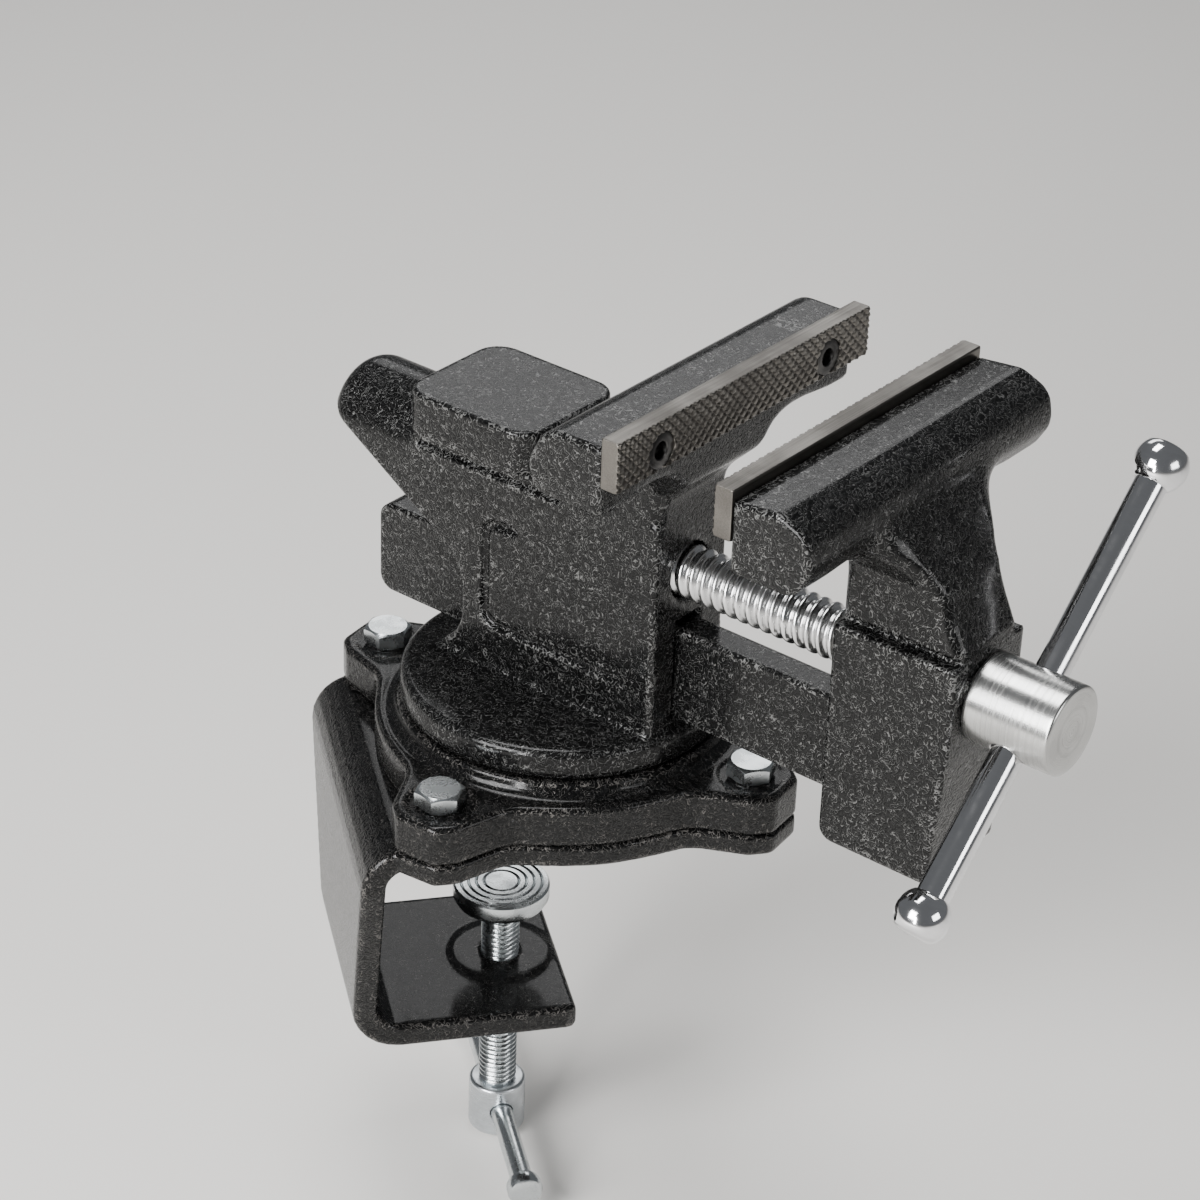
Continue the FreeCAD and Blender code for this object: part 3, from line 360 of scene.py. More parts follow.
def mix_colors(tree, amount, first, second):
    """A colour mix; first and second are sockets or RGB triples; returns its output."""
    node = tree.nodes.new("ShaderNodeMix")
    node.data_type = "RGBA"
    for index, value in ((0, amount), (6, first), (7, second)):
        socket = node.inputs[index]
        if isinstance(value, (int, float)):
            socket.default_value = value
        elif isinstance(value, tuple):
            socket.default_value = value + (1,)
        else:
            tree.links.new(value, socket)
    return node.outputs[2]


def noise_node(tree, vector, scale, detail=2.0, rough=0.5, distortion=0.0):
    """A noise texture on a vector; returns its value."""
    node = tree.nodes.new("ShaderNodeTexNoise")
    node.inputs["Scale"].default_value = scale
    node.inputs["Detail"].default_value = detail
    node.inputs["Roughness"].default_value = rough
    node.inputs["Distortion"].default_value = distortion
    tree.links.new(vector, node.inputs["Vector"])
    return node.outputs[0]


# Hammertone: the enamel draws up in dark islands, and silver flakes gather in the fine
# net of lines between them.
hammer, hammer_in, hammer_out = new_group(
    "hammertone",
    [("Position", "NodeSocketVector", None), ("Dark", "NodeSocketColor", (0.01, 0.01, 0.01, 1)),
     ("Flake", "NodeSocketColor", (0.3, 0.3, 0.3, 1)), ("Width", "NodeSocketFloat", 0.05),
     ("Edge", "NodeSocketFloat", 0.0)],
    [("Color", "NodeSocketColor"), ("Metal", "NodeSocketFloat"), ("Rough", "NodeSocketFloat"),
     ("Height", "NodeSocketFloat")])
ISLAND_SCALE, FINE_SCALE, BROAD_SCALE = 520, 1900, 90
EDGE_WEAR_AND_HIGHLIGHT_WIDER = 0.022
grain = noise_node(hammer, hammer_in.outputs["Position"], ISLAND_SCALE, 1.2, 0.5, 1.1)
fine = noise_node(hammer, hammer_in.outputs["Position"], FINE_SCALE, 1.0, 0.5)
broad = noise_node(hammer, hammer_in.outputs["Position"], BROAD_SCALE, 2.0, 0.5)
off_line = math_node(hammer, "ABSOLUTE", math_node(hammer, "SUBTRACT", grain, 0.5))
# On sharp outer edges the flake lines widen, so the enamel turns lighter there: partly worn paint,
# partly a painted highlight.
thin = math_node(hammer, "MULTIPLY_ADD", hammer_in.outputs["Edge"], EDGE_WEAR_AND_HIGHLIGHT_WIDER,
                 hammer_in.outputs["Width"])
uneven = math_node(hammer, "MULTIPLY_ADD", math_node(hammer, "ADD", fine, broad), 1.6, -0.5)
breadth = math_node(hammer, "MULTIPLY", thin, uneven)
on_line = math_node(hammer, "DIVIDE", off_line, math_node(hammer, "MAXIMUM", breadth, 0.004))
flake = range_node(hammer, on_line, 1.15, 0.6)
hammer.links.new(mix_colors(hammer, flake, hammer_in.outputs["Dark"], hammer_in.outputs["Flake"]),
                 hammer_out.inputs["Color"])
hammer.links.new(math_node(hammer, "MULTIPLY", flake, 0.6), hammer_out.inputs["Metal"])
hammer.links.new(range_node(hammer, flake, 0.0, 1.0, 0.24, 0.42), hammer_out.inputs["Rough"])
island = range_node(hammer, off_line, 0.0, 0.22)
hammer.links.new(math_node(hammer, "ADD", island, math_node(hammer, "MULTIPLY", fine, 0.3)),
                 hammer_out.inputs["Height"])


def plain_material(name, rough=0.4, metal=0.0):
    """A new material with its tree, shader and object coordinates."""
    material = bpy.data.materials.new(name)
    material.use_nodes = True
    tree = material.node_tree
    shader = tree.nodes["Principled BSDF"]
    shader.inputs["Roughness"].default_value = rough
    shader.inputs["Metallic"].default_value = metal
    place = tree.nodes.new("ShaderNodeTexCoord").outputs["Object"]
    return material, tree, shader, place


def add_bump(tree, shader, height, strength, distance):
    """Feeds a height into the shader's normal through a Bump node."""
    bump = tree.nodes.new("ShaderNodeBump")
    bump.inputs["Strength"].default_value = strength
    bump.inputs["Distance"].default_value = distance
    tree.links.new(height, bump.inputs["Height"])
    tree.links.new(bump.outputs[0], shader.inputs["Normal"])


def hammertone_enamel(name, dark, flake_colour, width):
    """Black enamel with silver flakes under a thin clear coat.  Flakes lie where a noise is
    near its middle value, within a width that two other noises vary and that grows on
    sharp outer edges, partly as worn paint and partly as a painted highlight; there the
    colour turns from dark to flake, metallic and rougher.  The islands between them stand
    up by their distance from that middle value."""
    material, tree, shader, place = plain_material(name)
    group = tree.nodes.new("ShaderNodeGroup")
    group.node_tree = hammer
    group.inputs["Dark"].default_value = dark + (1,)
    group.inputs["Flake"].default_value = flake_colour + (1,)
    group.inputs["Width"].default_value = width
    tree.links.new(place, group.inputs["Position"])
    # The edge value widens the flake lines on sharp outer edges: partly wear, partly a painted
    # highlight.
    worn = tree.nodes.new("ShaderNodeAttribute")
    worn.attribute_name = "edge"
    tree.links.new(worn.outputs["Fac"], group.inputs["Edge"])
    tree.links.new(group.outputs["Color"], shader.inputs["Base Color"])
    tree.links.new(group.outputs["Metal"], shader.inputs["Metallic"])
    tree.links.new(group.outputs["Rough"], shader.inputs["Roughness"])
    shader.inputs["Specular IOR Level"].default_value = 0.10
    shader.inputs["Coat Weight"].default_value = 0.34
    shader.inputs["Coat Roughness"].default_value = 0.14
    add_bump(tree, shader, group.outputs["Height"], 1.0, 0.0006)
    return material


BLACK = (0.002, 0.002, 0.002)
foot_enamel = hammertone_enamel("foot_enamel", BLACK, (0.09, 0.085, 0.08), 0.006)
bracket.data.materials.append(foot_enamel)

# ---------------------------------------------------------------- swivel base
# The foot's upper casting, bolted to the plate: the same lugged plan, a raised ring that
# the turntable runs on, and a bore for its spigot.
LOCK_HIGH = 17.4


def base_distance(u, v, w):
    """Flange, raised ring and shallow cone between them, less bore, recess, spot faces
    round the bolts and the lock screw's hole."""
    plan = lugged_distance(u, v)
    radius = np.hypot(u, v)
    flange = slab(plan, w - 13.5, 6.5, 1.8)
    ring = slab(radius - 50, w - 15.75, 8.75, 1.2)
    shape = blend(flange, ring, 4)
    shape = carve(shape, radius - 20.05, 0.8)
    shape = carve(shape, np.maximum(radius - 24, w - 12), 0.5)
    for bu in (-LUG_BOLT, LUG_BOLT):
        for bv in (-LUG_BOLT, LUG_BOLT):
            bolt = np.hypot(u - bu, v - bv)
            shape = carve(shape, np.maximum(bolt - 9.5, 19.6 - w), 0.6)
            shape = np.maximum(shape, M8_HOLE - bolt)
    hole = np.maximum(np.hypot(u, w - LOCK_HIGH) - M8_HOLE, -v)
    return carve(shape, hole, 0.5)


points, faces, edge = net_surface(base_distance, (-60, -60, 7), (60, 60, 24.6), 1.0)
base = mesh_piece("base", points, faces, FOOT_TURN, edge=edge)
base.data.materials.append(foot_enamel)
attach(base, "foot")
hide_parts("swivel_base")

# ---------------------------------------------------------------- turntable, body and fixed jaw
# The head: spigot, turntable, column, horn, anvil and fixed jaw in one casting, with the
# slide bar's slot and the lead screw's bore cored through it.
DECK = 34.5
SCREW_HIGH = DECK + 49.3
JAW_SCREW_HIGH = 142.75
JAW_HALF = 57.15
JAW_SCREW_SIDE = 38
COLUMN_HALF = 16.5
TAPPED = 3.02
COLUMN = round_corners(
    [(-44.5, 30), (36.8, 30), (36.8, DECK + 0.2), (27.2, DECK + 9), (27.2, DECK + 31),
     (47, DECK + 44.3), (47, DECK + 69.5), (-44.5, DECK + 69.5)],
    [0, 0, 0, 14, 16, 0, 0, 0], 5)
CAST_LOW = 127.0
JAW_ROLL = round_corners(
    [(-55, 148.5), (-55, CAST_LOW), (-33, CAST_LOW), (-29.5, 136), (-35.5, 148.5)],
    [0.8, 2.5, 6, 9, 9], 5)
JAW_MIDDLE = round_corners(
    [(-55, 148.5), (-55, 122), (-44.5, 111.5), (-44.5, 95), (-20, 95), (-20, 103.6), (-29.5, 108),
     (-29.5, 136), (-35.5, 148.5)],
    [0.8, 5, 12, 0, 0, 4, 8, 9, 9], 5)


def ease(value, low, high):
    """Nought below low, one above high and a smooth step between."""
    part = np.clip((value - low) / (high - low), 0, 1)
    return part * part * (3 - 2 * part)


def arched_jaw(x, y, z, middle, end, neck_half):
    """A jaw from two side views and a front view: the side view changes from middle to
    end along the jaw, and the front view is a T whose inner corners are arches."""
    across = np.abs(x)
    along = ease(across, neck_half + 1, neck_half + 21)
    side_view = outline_distance(middle, y, z) * (1 - along) + outline_distance(end, y, z) * along
    tee = round_corners([(-60, 95), (neck_half, 95), (neck_half, CAST_LOW), (JAW_HALF, CAST_LOW),
                         (JAW_HALF, 155), (-60, 155)], [0, 0, 15, 2.5, 0, 0], 8)
    edge = 1.4 + 3.4 * (1 - ease(np.abs(across - neck_half - 10), 8, 24))
    return meet(side_view, outline_distance(tee, across, z), edge)


def jaw_screw_holes(x, z, radius):
    """Distance to the two tapped holes behind a jaw plate."""
    return np.hypot(np.abs(x) - JAW_SCREW_SIDE, z - JAW_SCREW_HIGH) - radius


def body_distance(x, y, z):
    """The whole head casting: profiles of the column and jaw, joined with fillets, less
    slot, bores and engraved lines."""
    radius = np.hypot(x, y)
    column = slab(outline_distance(COLUMN, y, z), x, COLUMN_HALF, 1.3)
    disc = slab(radius - 49.2, z - (DECK - 4.85), 4.85, 2.6)
    spigot = slab(radius - 20, z - 20, 8.3, 0.6)
    section = np.hypot(x, np.maximum(z - (DECK + 60), 0)) - COLUMN_HALF
    horn = meet(section, np.maximum(y - 82, 10 - y), 8)
    horn = meet(horn, (y - 27.2) * 0.533 - (z - DECK - 31) * 0.846, 1.3)
    anvil = np.hypot(np.maximum(np.abs(x) - 12.8, 0), np.maximum(np.abs(y - 23.15) - 15.55, 0))
    anvil = slab(anvil - 8.5, z - (DECK + 77.1), 6.9, 1.1)
    neck = np.hypot(np.maximum(np.abs(x) - 8.5, 0), np.maximum(np.abs(y - 22) - 14, 0))
    neck = slab(neck - 8, z - (DECK + 66), 6, 0.5)
    jaw = arched_jaw(x, y, z, JAW_MIDDLE, JAW_ROLL, COLUMN_HALF)
    shape = blend(np.minimum(column, horn), anvil, 0.5)
    shape = np.minimum(shape, jaw)
    shape = blend(shape, disc, 1.6)
    shape = np.minimum(shape, np.minimum(spigot, neck))
    slot = np.maximum(np.abs(x) - 5.5, np.abs(z - 52.55) - 16.35)
    shape = carve(shape, slot, 1.2)
    axle = np.hypot(x, z - SCREW_HIGH)
    shape = carve(shape, np.maximum(axle - 12.2, -36.5 - y), 0.5)
    shape = carve(shape, np.maximum(axle - 8.7, y), 1.2)
    set_hole = TAPPED - np.hypot(x, y + 25.5)
    shape = np.maximum(shape, np.where((z > 90) & (z < 108), set_hole, -FAR))
    shape = np.maximum(shape, np.where(z < 30, 4.02 - radius, -FAR))
    shape = np.maximum(shape, -np.maximum(jaw_screw_holes(x, z, TAPPED), y + 43.4))
    side = np.abs(np.abs(x) - COLUMN_HALF)
    upright = np.hypot(np.maximum(np.abs(z - 66.3) - 12.3, 0), y - 18.3)
    sill = np.hypot(np.maximum(np.abs(y + 9.5) - 23.5, 0), z - 49.8)
    lintel = np.hypot(np.maximum(np.abs(y - 10.5) - 3, 0), z - 83.3)
    low_bend = np.abs(np.hypot(y - 14, z - 54.1) - 4.3)
    low_bend = np.where((y > 13.9) & (z < 54.2), low_bend, FAR)
    high_bend = np.abs(np.hypot(y - 13.5, z - 78.5) - 4.8)
    high_bend = np.where((y > 13.4) & (z > 78.4), high_bend, FAR)
    line = np.minimum(lintel, np.minimum(low_bend, high_bend))
    line = np.minimum(np.minimum(upright, sill), line)
    shape = carve(shape, np.hypot(line, side) - 1.55, 0.3)
    under = np.hypot(np.maximum(np.abs(y - 18) - 26, 0), z - (DECK + 65.2))
    return carve(shape, np.hypot(under, side * 0.6) - 1.1, 0.4)


points, faces, edge = net_surface(body_distance, (-57.3, -55, 11.7), (57.3, 82, 148.6), 0.95)
body = mesh_piece("body", points, faces, edge=edge)
head_enamel = hammertone_enamel("head_enamel", BLACK, (0.13, 0.13, 0.127), 0.012)
body.data.materials.append(head_enamel)
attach(body, "head")
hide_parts("vise_body")

# ---------------------------------------------------------------- sliding jaw
# The moving casting: jaw, arched neck, front block and a thin slide bar that runs back
# through the body.  A ledge marks where the block steps out from the neck.
MOVING_ROLL = round_corners(
    [(-98, 148.9), (-98, CAST_LOW), (-117.5, CAST_LOW), (-123.5, 137), (-122, 146.5),
     (-112.5, 150.4)],
    [0.8, 2, 7, 9, 7, 6], 5)
MOVING_MIDDLE = round_corners(
    [(-98, 148.9), (-98, 126), (-105, 120), (-105, 97), (-144.3, 97), (-144.3, 101),
     (-140.5, DECK + 74.5), (-137, DECK + 83), (-130.5, DECK + 92.4), (-123.2, 138),
     (-122, 146.5), (-112.5, 150.4)],
    [0.8, 3, 8, 0, 0, 0, 8, 12, 14, 12, 7, 6], 4)
BLOCK = round_corners(
    [(-105, DECK + 64), (-105, DECK - 6), (-141, DECK - 6), (-144.4, 70), (-144.5, DECK + 64)],
    [0.8, 4.5, 1.8, 6, 1], 4)


def slider_distance(x, y, z):
    """Roll, neck, block and bar joined with fillets, less the screw's bores."""
    jaw = arched_jaw(x, y, z, MOVING_MIDDLE, MOVING_ROLL, 14.5)
    block = slab(outline_distance(BLOCK, y, z), x, 17, 1.2)
    flat = np.hypot(np.maximum(y - 64.8, 0), np.maximum(np.abs(z - 51.5) - 9.8, 0)) - 5.2
    bar = slab(np.maximum(flat, -y - 110), x, 5.2, 0.9)
    shape = np.minimum(jaw, block)
    ledge = np.maximum(np.abs(z - (DECK + 64.4)) - 0.95, 12.4 - np.abs(x))
    shape = carve(shape, np.maximum(ledge, -143.4 - y), 0.3)
    shape = blend(shape, bar, 1.5)
    axle = np.hypot(x, z - SCREW_HIGH)
    shape = carve(shape, axle - 8.1, 0.5)
    shape = carve(shape, np.maximum(axle - 12.9, -112.4 - y), 0.5)
    return np.maximum(shape, -np.maximum(jaw_screw_holes(x, z, TAPPED), -109.6 - y))


points, faces, edge = net_surface(slider_distance, (-57.3, -144.6, 28.5), (57.3, 70, 150.5), 0.95)
slider = mesh_piece("slider", points, faces, edge=edge)
slider.data.materials.append(head_enamel)
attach(slider, "slider")
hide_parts("sliding_jaw")

# ---------------------------------------------------------------- jaw plates
# Two hardened steel plates with a diamond-cut gripping face, ground satin on their other
# faces, each held by two countersunk screws.
PLATE_HALF = 3
PLATE_MIDDLE = 144.5
GROOVE_PITCH = 3.6
GROOVE_DEEP = 0.62
FIXED_FACE, MOVING_FACE = -61, -92


def plate_distance(x, y, z, face, way):
    """A block with small chamfers, less crossed V grooves on the gripping face (pyramids
    where both grooves are far) and the two countersinks."""
    front = np.maximum(np.abs(x) - JAW_HALF, np.abs(z - PLATE_MIDDLE) - 7.5)
    flat = slab(front, y - (face - way * PLATE_HALF), PLATE_HALF, 0.25)
    one, two = (x + z) / GROOVE_PITCH, (x - z) / GROOVE_PITCH
    one, two = np.abs(one - np.round(one)), np.abs(two - np.round(two))
    tooth = np.minimum(np.minimum(one, two) * 3.0, GROOVE_DEEP)
    grooved = (y - face) * way + GROOVE_DEEP - tooth
    flat = np.maximum(flat, grooved * 0.75)
    seat = jaw_screw_holes(x, z, 0)
    depth = (face - y) * way
    cone = (seat - np.maximum(5.5 - np.maximum(depth - 1.0, 0), 3.1)) * 0.75
    return np.maximum(flat, -cone)


turning, turning_in, turning_out = new_group(
    "tool_marks",
    [("Way", "NodeSocketVector", None), ("Pitch", "NodeSocketFloat", 1.0)],
    [("Shade", "NodeSocketFloat"), ("Height", "NodeSocketFloat")])
stretch = turning.nodes.new("ShaderNodeVectorMath")
stretch.operation = "SCALE"
turning.links.new(turning_in.outputs["Way"], stretch.inputs[0])
turning.links.new(turning_in.outputs["Pitch"], stretch.inputs["Scale"])
line_noise = noise_node(turning, stretch.outputs[0], 1.0, 3.0, 0.6)
turning.links.new(range_node(turning, line_noise, 0.3, 0.7), turning_out.inputs["Shade"])
turning.links.new(line_noise, turning_out.inputs["Height"])

smudge, smudge_in, smudge_out = new_group(
    "handled",
    [("Position", "NodeSocketVector", None), ("Size", "NodeSocketFloat", 60.0)],
    [("Patch", "NodeSocketFloat")])
patch = smudge.nodes.new("ShaderNodeTexNoise")
patch.inputs["Detail"].default_value = 4
smudge.links.new(smudge_in.outputs["Position"], patch.inputs["Vector"])
smudge.links.new(smudge_in.outputs["Size"], patch.inputs["Scale"])
smudge.links.new(range_node(smudge, patch.outputs[0], 0.35, 0.68), smudge_out.inputs["Patch"])


def worked_metal(name, clean, worn, rough_clean, rough_worn, way, size, mark, bump):
    """Bare or plated metal.  Colour and roughness go from clean to worn by handled patches
    plus mark times the tool marks, over one plus mark; the tool marks also give a bump.
    They are noise stretched along way: ("UV", scale) for turned pieces or ("Object",
    scale) for ground ones."""
    material, tree, shader, place = plain_material(name, metal=1.0)
    mapping = tree.nodes.new("ShaderNodeMapping")
    mapping.inputs["Scale"].default_value = way[1]
    source = place
    if way[0] == "UV":
        source = tree.nodes.new("ShaderNodeUVMap")
        source.uv_map = "marks"
        source = source.outputs[0]
    tree.links.new(source, mapping.inputs["Vector"])
    lines = tree.nodes.new("ShaderNodeGroup")
    lines.node_tree = turning
    lines.inputs["Pitch"].default_value = 1.0
    tree.links.new(mapping.outputs[0], lines.inputs["Way"])
    used = tree.nodes.new("ShaderNodeGroup")
    used.node_tree = smudge
    used.inputs["Size"].default_value = size
    tree.links.new(place, used.inputs["Position"])
    dull = math_node(tree, "MULTIPLY_ADD", lines.outputs["Shade"], mark, used.outputs["Patch"])
    dull = math_node(tree, "MULTIPLY", dull, 1 / (1 + mark))
    tree.links.new(mix_colors(tree, dull, clean, worn), shader.inputs["Base Color"])
    rough = range_node(tree, dull, 0, 1, rough_clean, rough_worn)
    tree.links.new(rough, shader.inputs["Roughness"])
    add_bump(tree, shader, lines.outputs["Height"], bump, 0.0002)
    return material


ground_steel = worked_metal("ground_steel", (0.17, 0.16, 0.145), (0.095, 0.088, 0.08), 0.28, 0.44,
                            ("Object", (30, 2600, 2600)), 55, 0.8, 0.25)

for name, node, ride_on, face, way in (
        ("fixed_plate", "fixed_jaw_plate", "head", FIXED_FACE, -1),
        ("moving_plate", "moving_jaw_plate", "slider", MOVING_FACE, 1)):
    back = face - 2 * way * PLATE_HALF
    points, faces, _ = net_surface(lambda x, y, z: plate_distance(x, y, z, face, way),
                                   (-JAW_HALF, min(face, back), 137),
                                   (JAW_HALF, max(face, back), 152), 0.45)
    plate = mesh_piece(name, points, faces, sharp=38)
    plate.data.materials.append(ground_steel)
    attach(plate, ride_on)
    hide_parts(node)

# ---------------------------------------------------------------- jaw plate screws
# Countersunk socket screws, blackened, two in each plate and tapped into the casting
# behind it.
JAW_SCREW_LONG = 17.4


def lathe(profile, origin, along, segments):
    """A profile of (radius, distance) pairs turned once round an axis through origin;
    a radius of nought is a pole, closed with a fan.  The map of the surface holds the
    distance along the profile and the part of a turn, in metres and turns."""
    along = np.array(along, float) / np.linalg.norm(along)
    side = np.cross(along, (0, 0, 1) if abs(along[2]) < 0.9 else (1, 0, 0))
    side /= np.linalg.norm(side)
    other = np.cross(along, side)
    rings = np.array(profile, float)
    angle = np.arange(segments) * 2 * math.pi / segments
    wheel = np.cos(angle)[:, None] * side + np.sin(angle)[:, None] * other
    middle = rings[1:-1]
    grid = np.array(origin) + middle[:, None, 1:] * along + middle[:, None, :1] * wheel
    poles = np.array(origin) + rings[[0, -1], 1:] * along
    points = np.concatenate([grid.reshape(-1, 3), poles])
    return points, *lathe_faces(len(middle), segments, rings)


def lathe_faces(rows, segments, rings):
    """Quads of a closed wheel of rings with a fan at each end, and their surface map."""
    row, column = np.meshgrid(np.arange(rows - 1), np.arange(segments), indexing="ij")
    row, column = row.ravel(), column.ravel()
    after = (column + 1) % segments
    quads = np.stack([row * segments + column, row * segments + after,
                      (row + 1) * segments + after, (row + 1) * segments + column], 1)
    run = np.concatenate([[0], np.cumsum(np.hypot(*np.diff(rings, axis=0).T))]) * MM
    turn = np.stack([column, column + 1, column + 1, column], 1) / segments
    reach = np.stack([run[row + 1], run[row + 1], run[row + 2], run[row + 2]], 1)
    marks = [np.stack([reach, turn], 2).reshape(-1, 2)]
    spoke = np.arange(segments)
    follow = (spoke + 1) % segments
    first, last = rows * segments, rows * segments + 1
    base = (rows - 1) * segments
    low_fan = np.stack([np.full(segments, first), follow, spoke], 1)
    high_fan = np.stack([np.full(segments, last), base + spoke, base + follow], 1)
    for reach_tip, reach_rim, order in ((run[0], run[1], (0.5, 1, 0)),
                                        (run[-1], run[-2], (0.5, 0, 1))):
        fan_turn = np.stack([(spoke + step) / segments for step in order], 1)
        fan_reach = np.tile([reach_tip, reach_rim, reach_rim], (segments, 1))
        marks.append(np.stack([fan_reach, fan_turn], 2).reshape(-1, 2))
    return [quads, np.concatenate([low_fan, high_fan])], np.concatenate(marks)


def join(*parts):
    """Several closed shells as one set of points, faces and surface map."""
    points, quads, fans, quad_marks, fan_marks, count = [], [], [], [], [], 0
    for part_points, part_faces, part_marks in parts:
        points.append(part_points)
        quads.append(part_faces[0] + count)
        fans.append(part_faces[1] + count)
        cut = part_faces[0].size
        quad_marks.append(part_marks[:cut])
        fan_marks.append(part_marks[cut:])
        count += len(part_points)
    return (np.concatenate(points), [np.concatenate(quads), np.concatenate(fans)],
            np.concatenate(quad_marks + fan_marks))


def add_turned(name, node, ride_on, material, shells, turn=0.0, sharp=32):
    """Makes a turned piece of its shells, dresses it and ties it to its body."""
    points, faces, marks = join(*shells)
    piece = mesh_piece(name, points, faces, turn, sharp, marks)
    piece.data.materials.append(material)
    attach(piece, ride_on)
    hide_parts(node)


black_oxide = worked_metal("black_oxide", (0.09, 0.088, 0.085), (0.035, 0.034, 0.034), 0.28, 0.45,
                           ("UV", (900, 3, 1)), 120, 0.5, 0.2)
jaw_screw = [(0, 3.2), (2.2, 3.0), (2.6, 0.9), (2.9, 0.65), (5.1, 0.62), (5.4, 0.8), (5.4, 1.2),
             (3.1, 3.6), (3.0, 3.8), (3.0, JAW_SCREW_LONG - 0.6), (2.4, JAW_SCREW_LONG),
             (0, JAW_SCREW_LONG)]
for name, node, ride_on, face, way in (
        ("fixed_plate_screws", "fixed_jaw_screws", "head", FIXED_FACE, -1),
        ("moving_plate_screws", "moving_jaw_screws", "slider", MOVING_FACE, 1)):
    shells = [lathe(jaw_screw, (x, face, JAW_SCREW_HIGH), (0, -way, 0), 48)
              for x in (-JAW_SCREW_SIDE, JAW_SCREW_SIDE)]
    add_turned(name, node, ride_on, black_oxide, shells)

# ---------------------------------------------------------------- lead screw
# A bright plated screw with a rounded 4 mm thread and a turned head that is cross-drilled
# for the handle; its journal runs in the sliding jaw.
SCREW_PITCH = 4.0
HANDLE_LEAN = math.radians(43.4)
HANDLE_AT = -158.3
DRUM_RADIUS = 13


def threaded(radius, root, pitch, start, stop, origin, along, segments=40, steps=9):
    """A rod with a right-handed thread: the radius at each point rises and falls with
    its distance along the rod less its part of a turn, and fades out at both ends."""
    along = np.array(along, float)
    side = np.cross(along, (0, 0, 1) if abs(along[2]) < 0.9 else (1, 0, 0))
    side /= np.linalg.norm(side)
    other = np.cross(along, side)
    reach = np.arange(start, stop + 0.01, pitch / steps)
    angle = np.arange(segments) * 2 * math.pi / segments
    phase = 2 * math.pi * reach[:, None] / pitch - angle[None, :]
    wave = np.tanh(1.5 * np.cos(phase)) / math.tanh(1.5)
    fade = np.clip(np.minimum(reach - start, stop - reach) / (0.8 * pitch), 0, 1)[:, None]
    swell = (radius + root) / 2 + (radius - root) / 2 * wave
    swell = swell * fade + root * (1 - fade)
    wheel = np.cos(angle)[:, None] * side + np.sin(angle)[:, None] * other
    grid = np.array(origin) + reach[:, None, None] * along + swell[..., None] * wheel
    ends = np.array(origin) + np.array([[start], [stop]]) * along
    rings = np.stack([np.full(len(reach) + 2, root), np.concatenate([[start], reach, [stop]])], 1)
    return np.concatenate([grid.reshape(-1, 3), ends]), *lathe_faces(len(reach), segments, rings)


def head_distance(x, y, z):
    """The screw's head: a drum with a chamfered rim and the hole for the handle with
    rounded mouths."""
    axle = np.hypot(x, z - SCREW_HIGH)
    drum = slab(axle - DRUM_RADIUS, y - HANDLE_AT, 13.5, 0.9)
    cx, cz = math.cos(HANDLE_LEAN), math.sin(HANDLE_LEAN)
    across = -x * cz + (z - SCREW_HIGH) * cx
    return carve(drum, np.hypot(across, y - HANDLE_AT) - 4.85, 0.5)


bright_turned = worked_metal("bright_turned", (0.80, 0.80, 0.80), (0.55, 0.55, 0.55), 0.16, 0.30,
                             ("UV", (2400, 4, 1)), 90, 0.5, 0.12)
shells = [threaded(8.0, 6.5, SCREW_PITCH, -104, 60, (0, 0, SCREW_HIGH), (0, 1, 0)),
          lathe([(0, -150), (8, -150), (8, -104.2), (6.5, -103.4), (0, -103.4)],
                (0, 0, SCREW_HIGH), (0, 1, 0), 48)]
add_turned("lead_screw_rod", "lead_screw", "spindle", bright_turned, shells,
           sharp=50)

satin_drum, drum_tree, drum_shader, drum_place = plain_material("satin_drum", 0.3, 1.0)
apart = drum_tree.nodes.new("ShaderNodeSeparateXYZ")
drum_tree.links.new(drum_place, apart.inputs[0])
high = math_node(drum_tree, "SUBTRACT", apart.outputs[2], SCREW_HIGH * MM)
wide = math_node(drum_tree, "MULTIPLY", apart.outputs[0], apart.outputs[0])
ring = math_node(drum_tree, "SQRT", math_node(drum_tree, "MULTIPLY_ADD", high, high, wide))
together = drum_tree.nodes.new("ShaderNodeCombineXYZ")
drum_tree.links.new(ring, together.inputs[0])
drum_tree.links.new(apart.outputs[1], together.inputs[1])
drum_lines = drum_tree.nodes.new("ShaderNodeGroup")
drum_lines.node_tree = turning
drum_lines.inputs["Pitch"].default_value = 2600
drum_tree.links.new(together.outputs[0], drum_lines.inputs["Way"])
drum_used = drum_tree.nodes.new("ShaderNodeGroup")
drum_used.node_tree = smudge
drum_tree.links.new(drum_place, drum_used.inputs["Position"])
drum_dull = math_node(drum_tree, "MULTIPLY_ADD", drum_lines.outputs["Shade"], 0.5,
                      math_node(drum_tree, "MULTIPLY", drum_used.outputs["Patch"], 0.5))
drum_tree.links.new(mix_colors(drum_tree, drum_dull, (0.58, 0.58, 0.57), (0.38, 0.38, 0.37)),
                    drum_shader.inputs["Base Color"])
drum_rough = range_node(drum_tree, drum_dull, 0, 1, 0.18, 0.34)
drum_tree.links.new(drum_rough, drum_shader.inputs["Roughness"])
add_bump(drum_tree, drum_shader, drum_lines.outputs["Height"], 0.1, 0.0001)

points, faces, _ = net_surface(head_distance, (-DRUM_RADIUS, -171.8, SCREW_HIGH - DRUM_RADIUS),
                               (DRUM_RADIUS, -144.8, SCREW_HIGH + DRUM_RADIUS), 0.5)
drum = mesh_piece("lead_screw_head", points, faces)
drum.data.materials.append(satin_drum)
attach(drum, "spindle")
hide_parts("lead_screw")

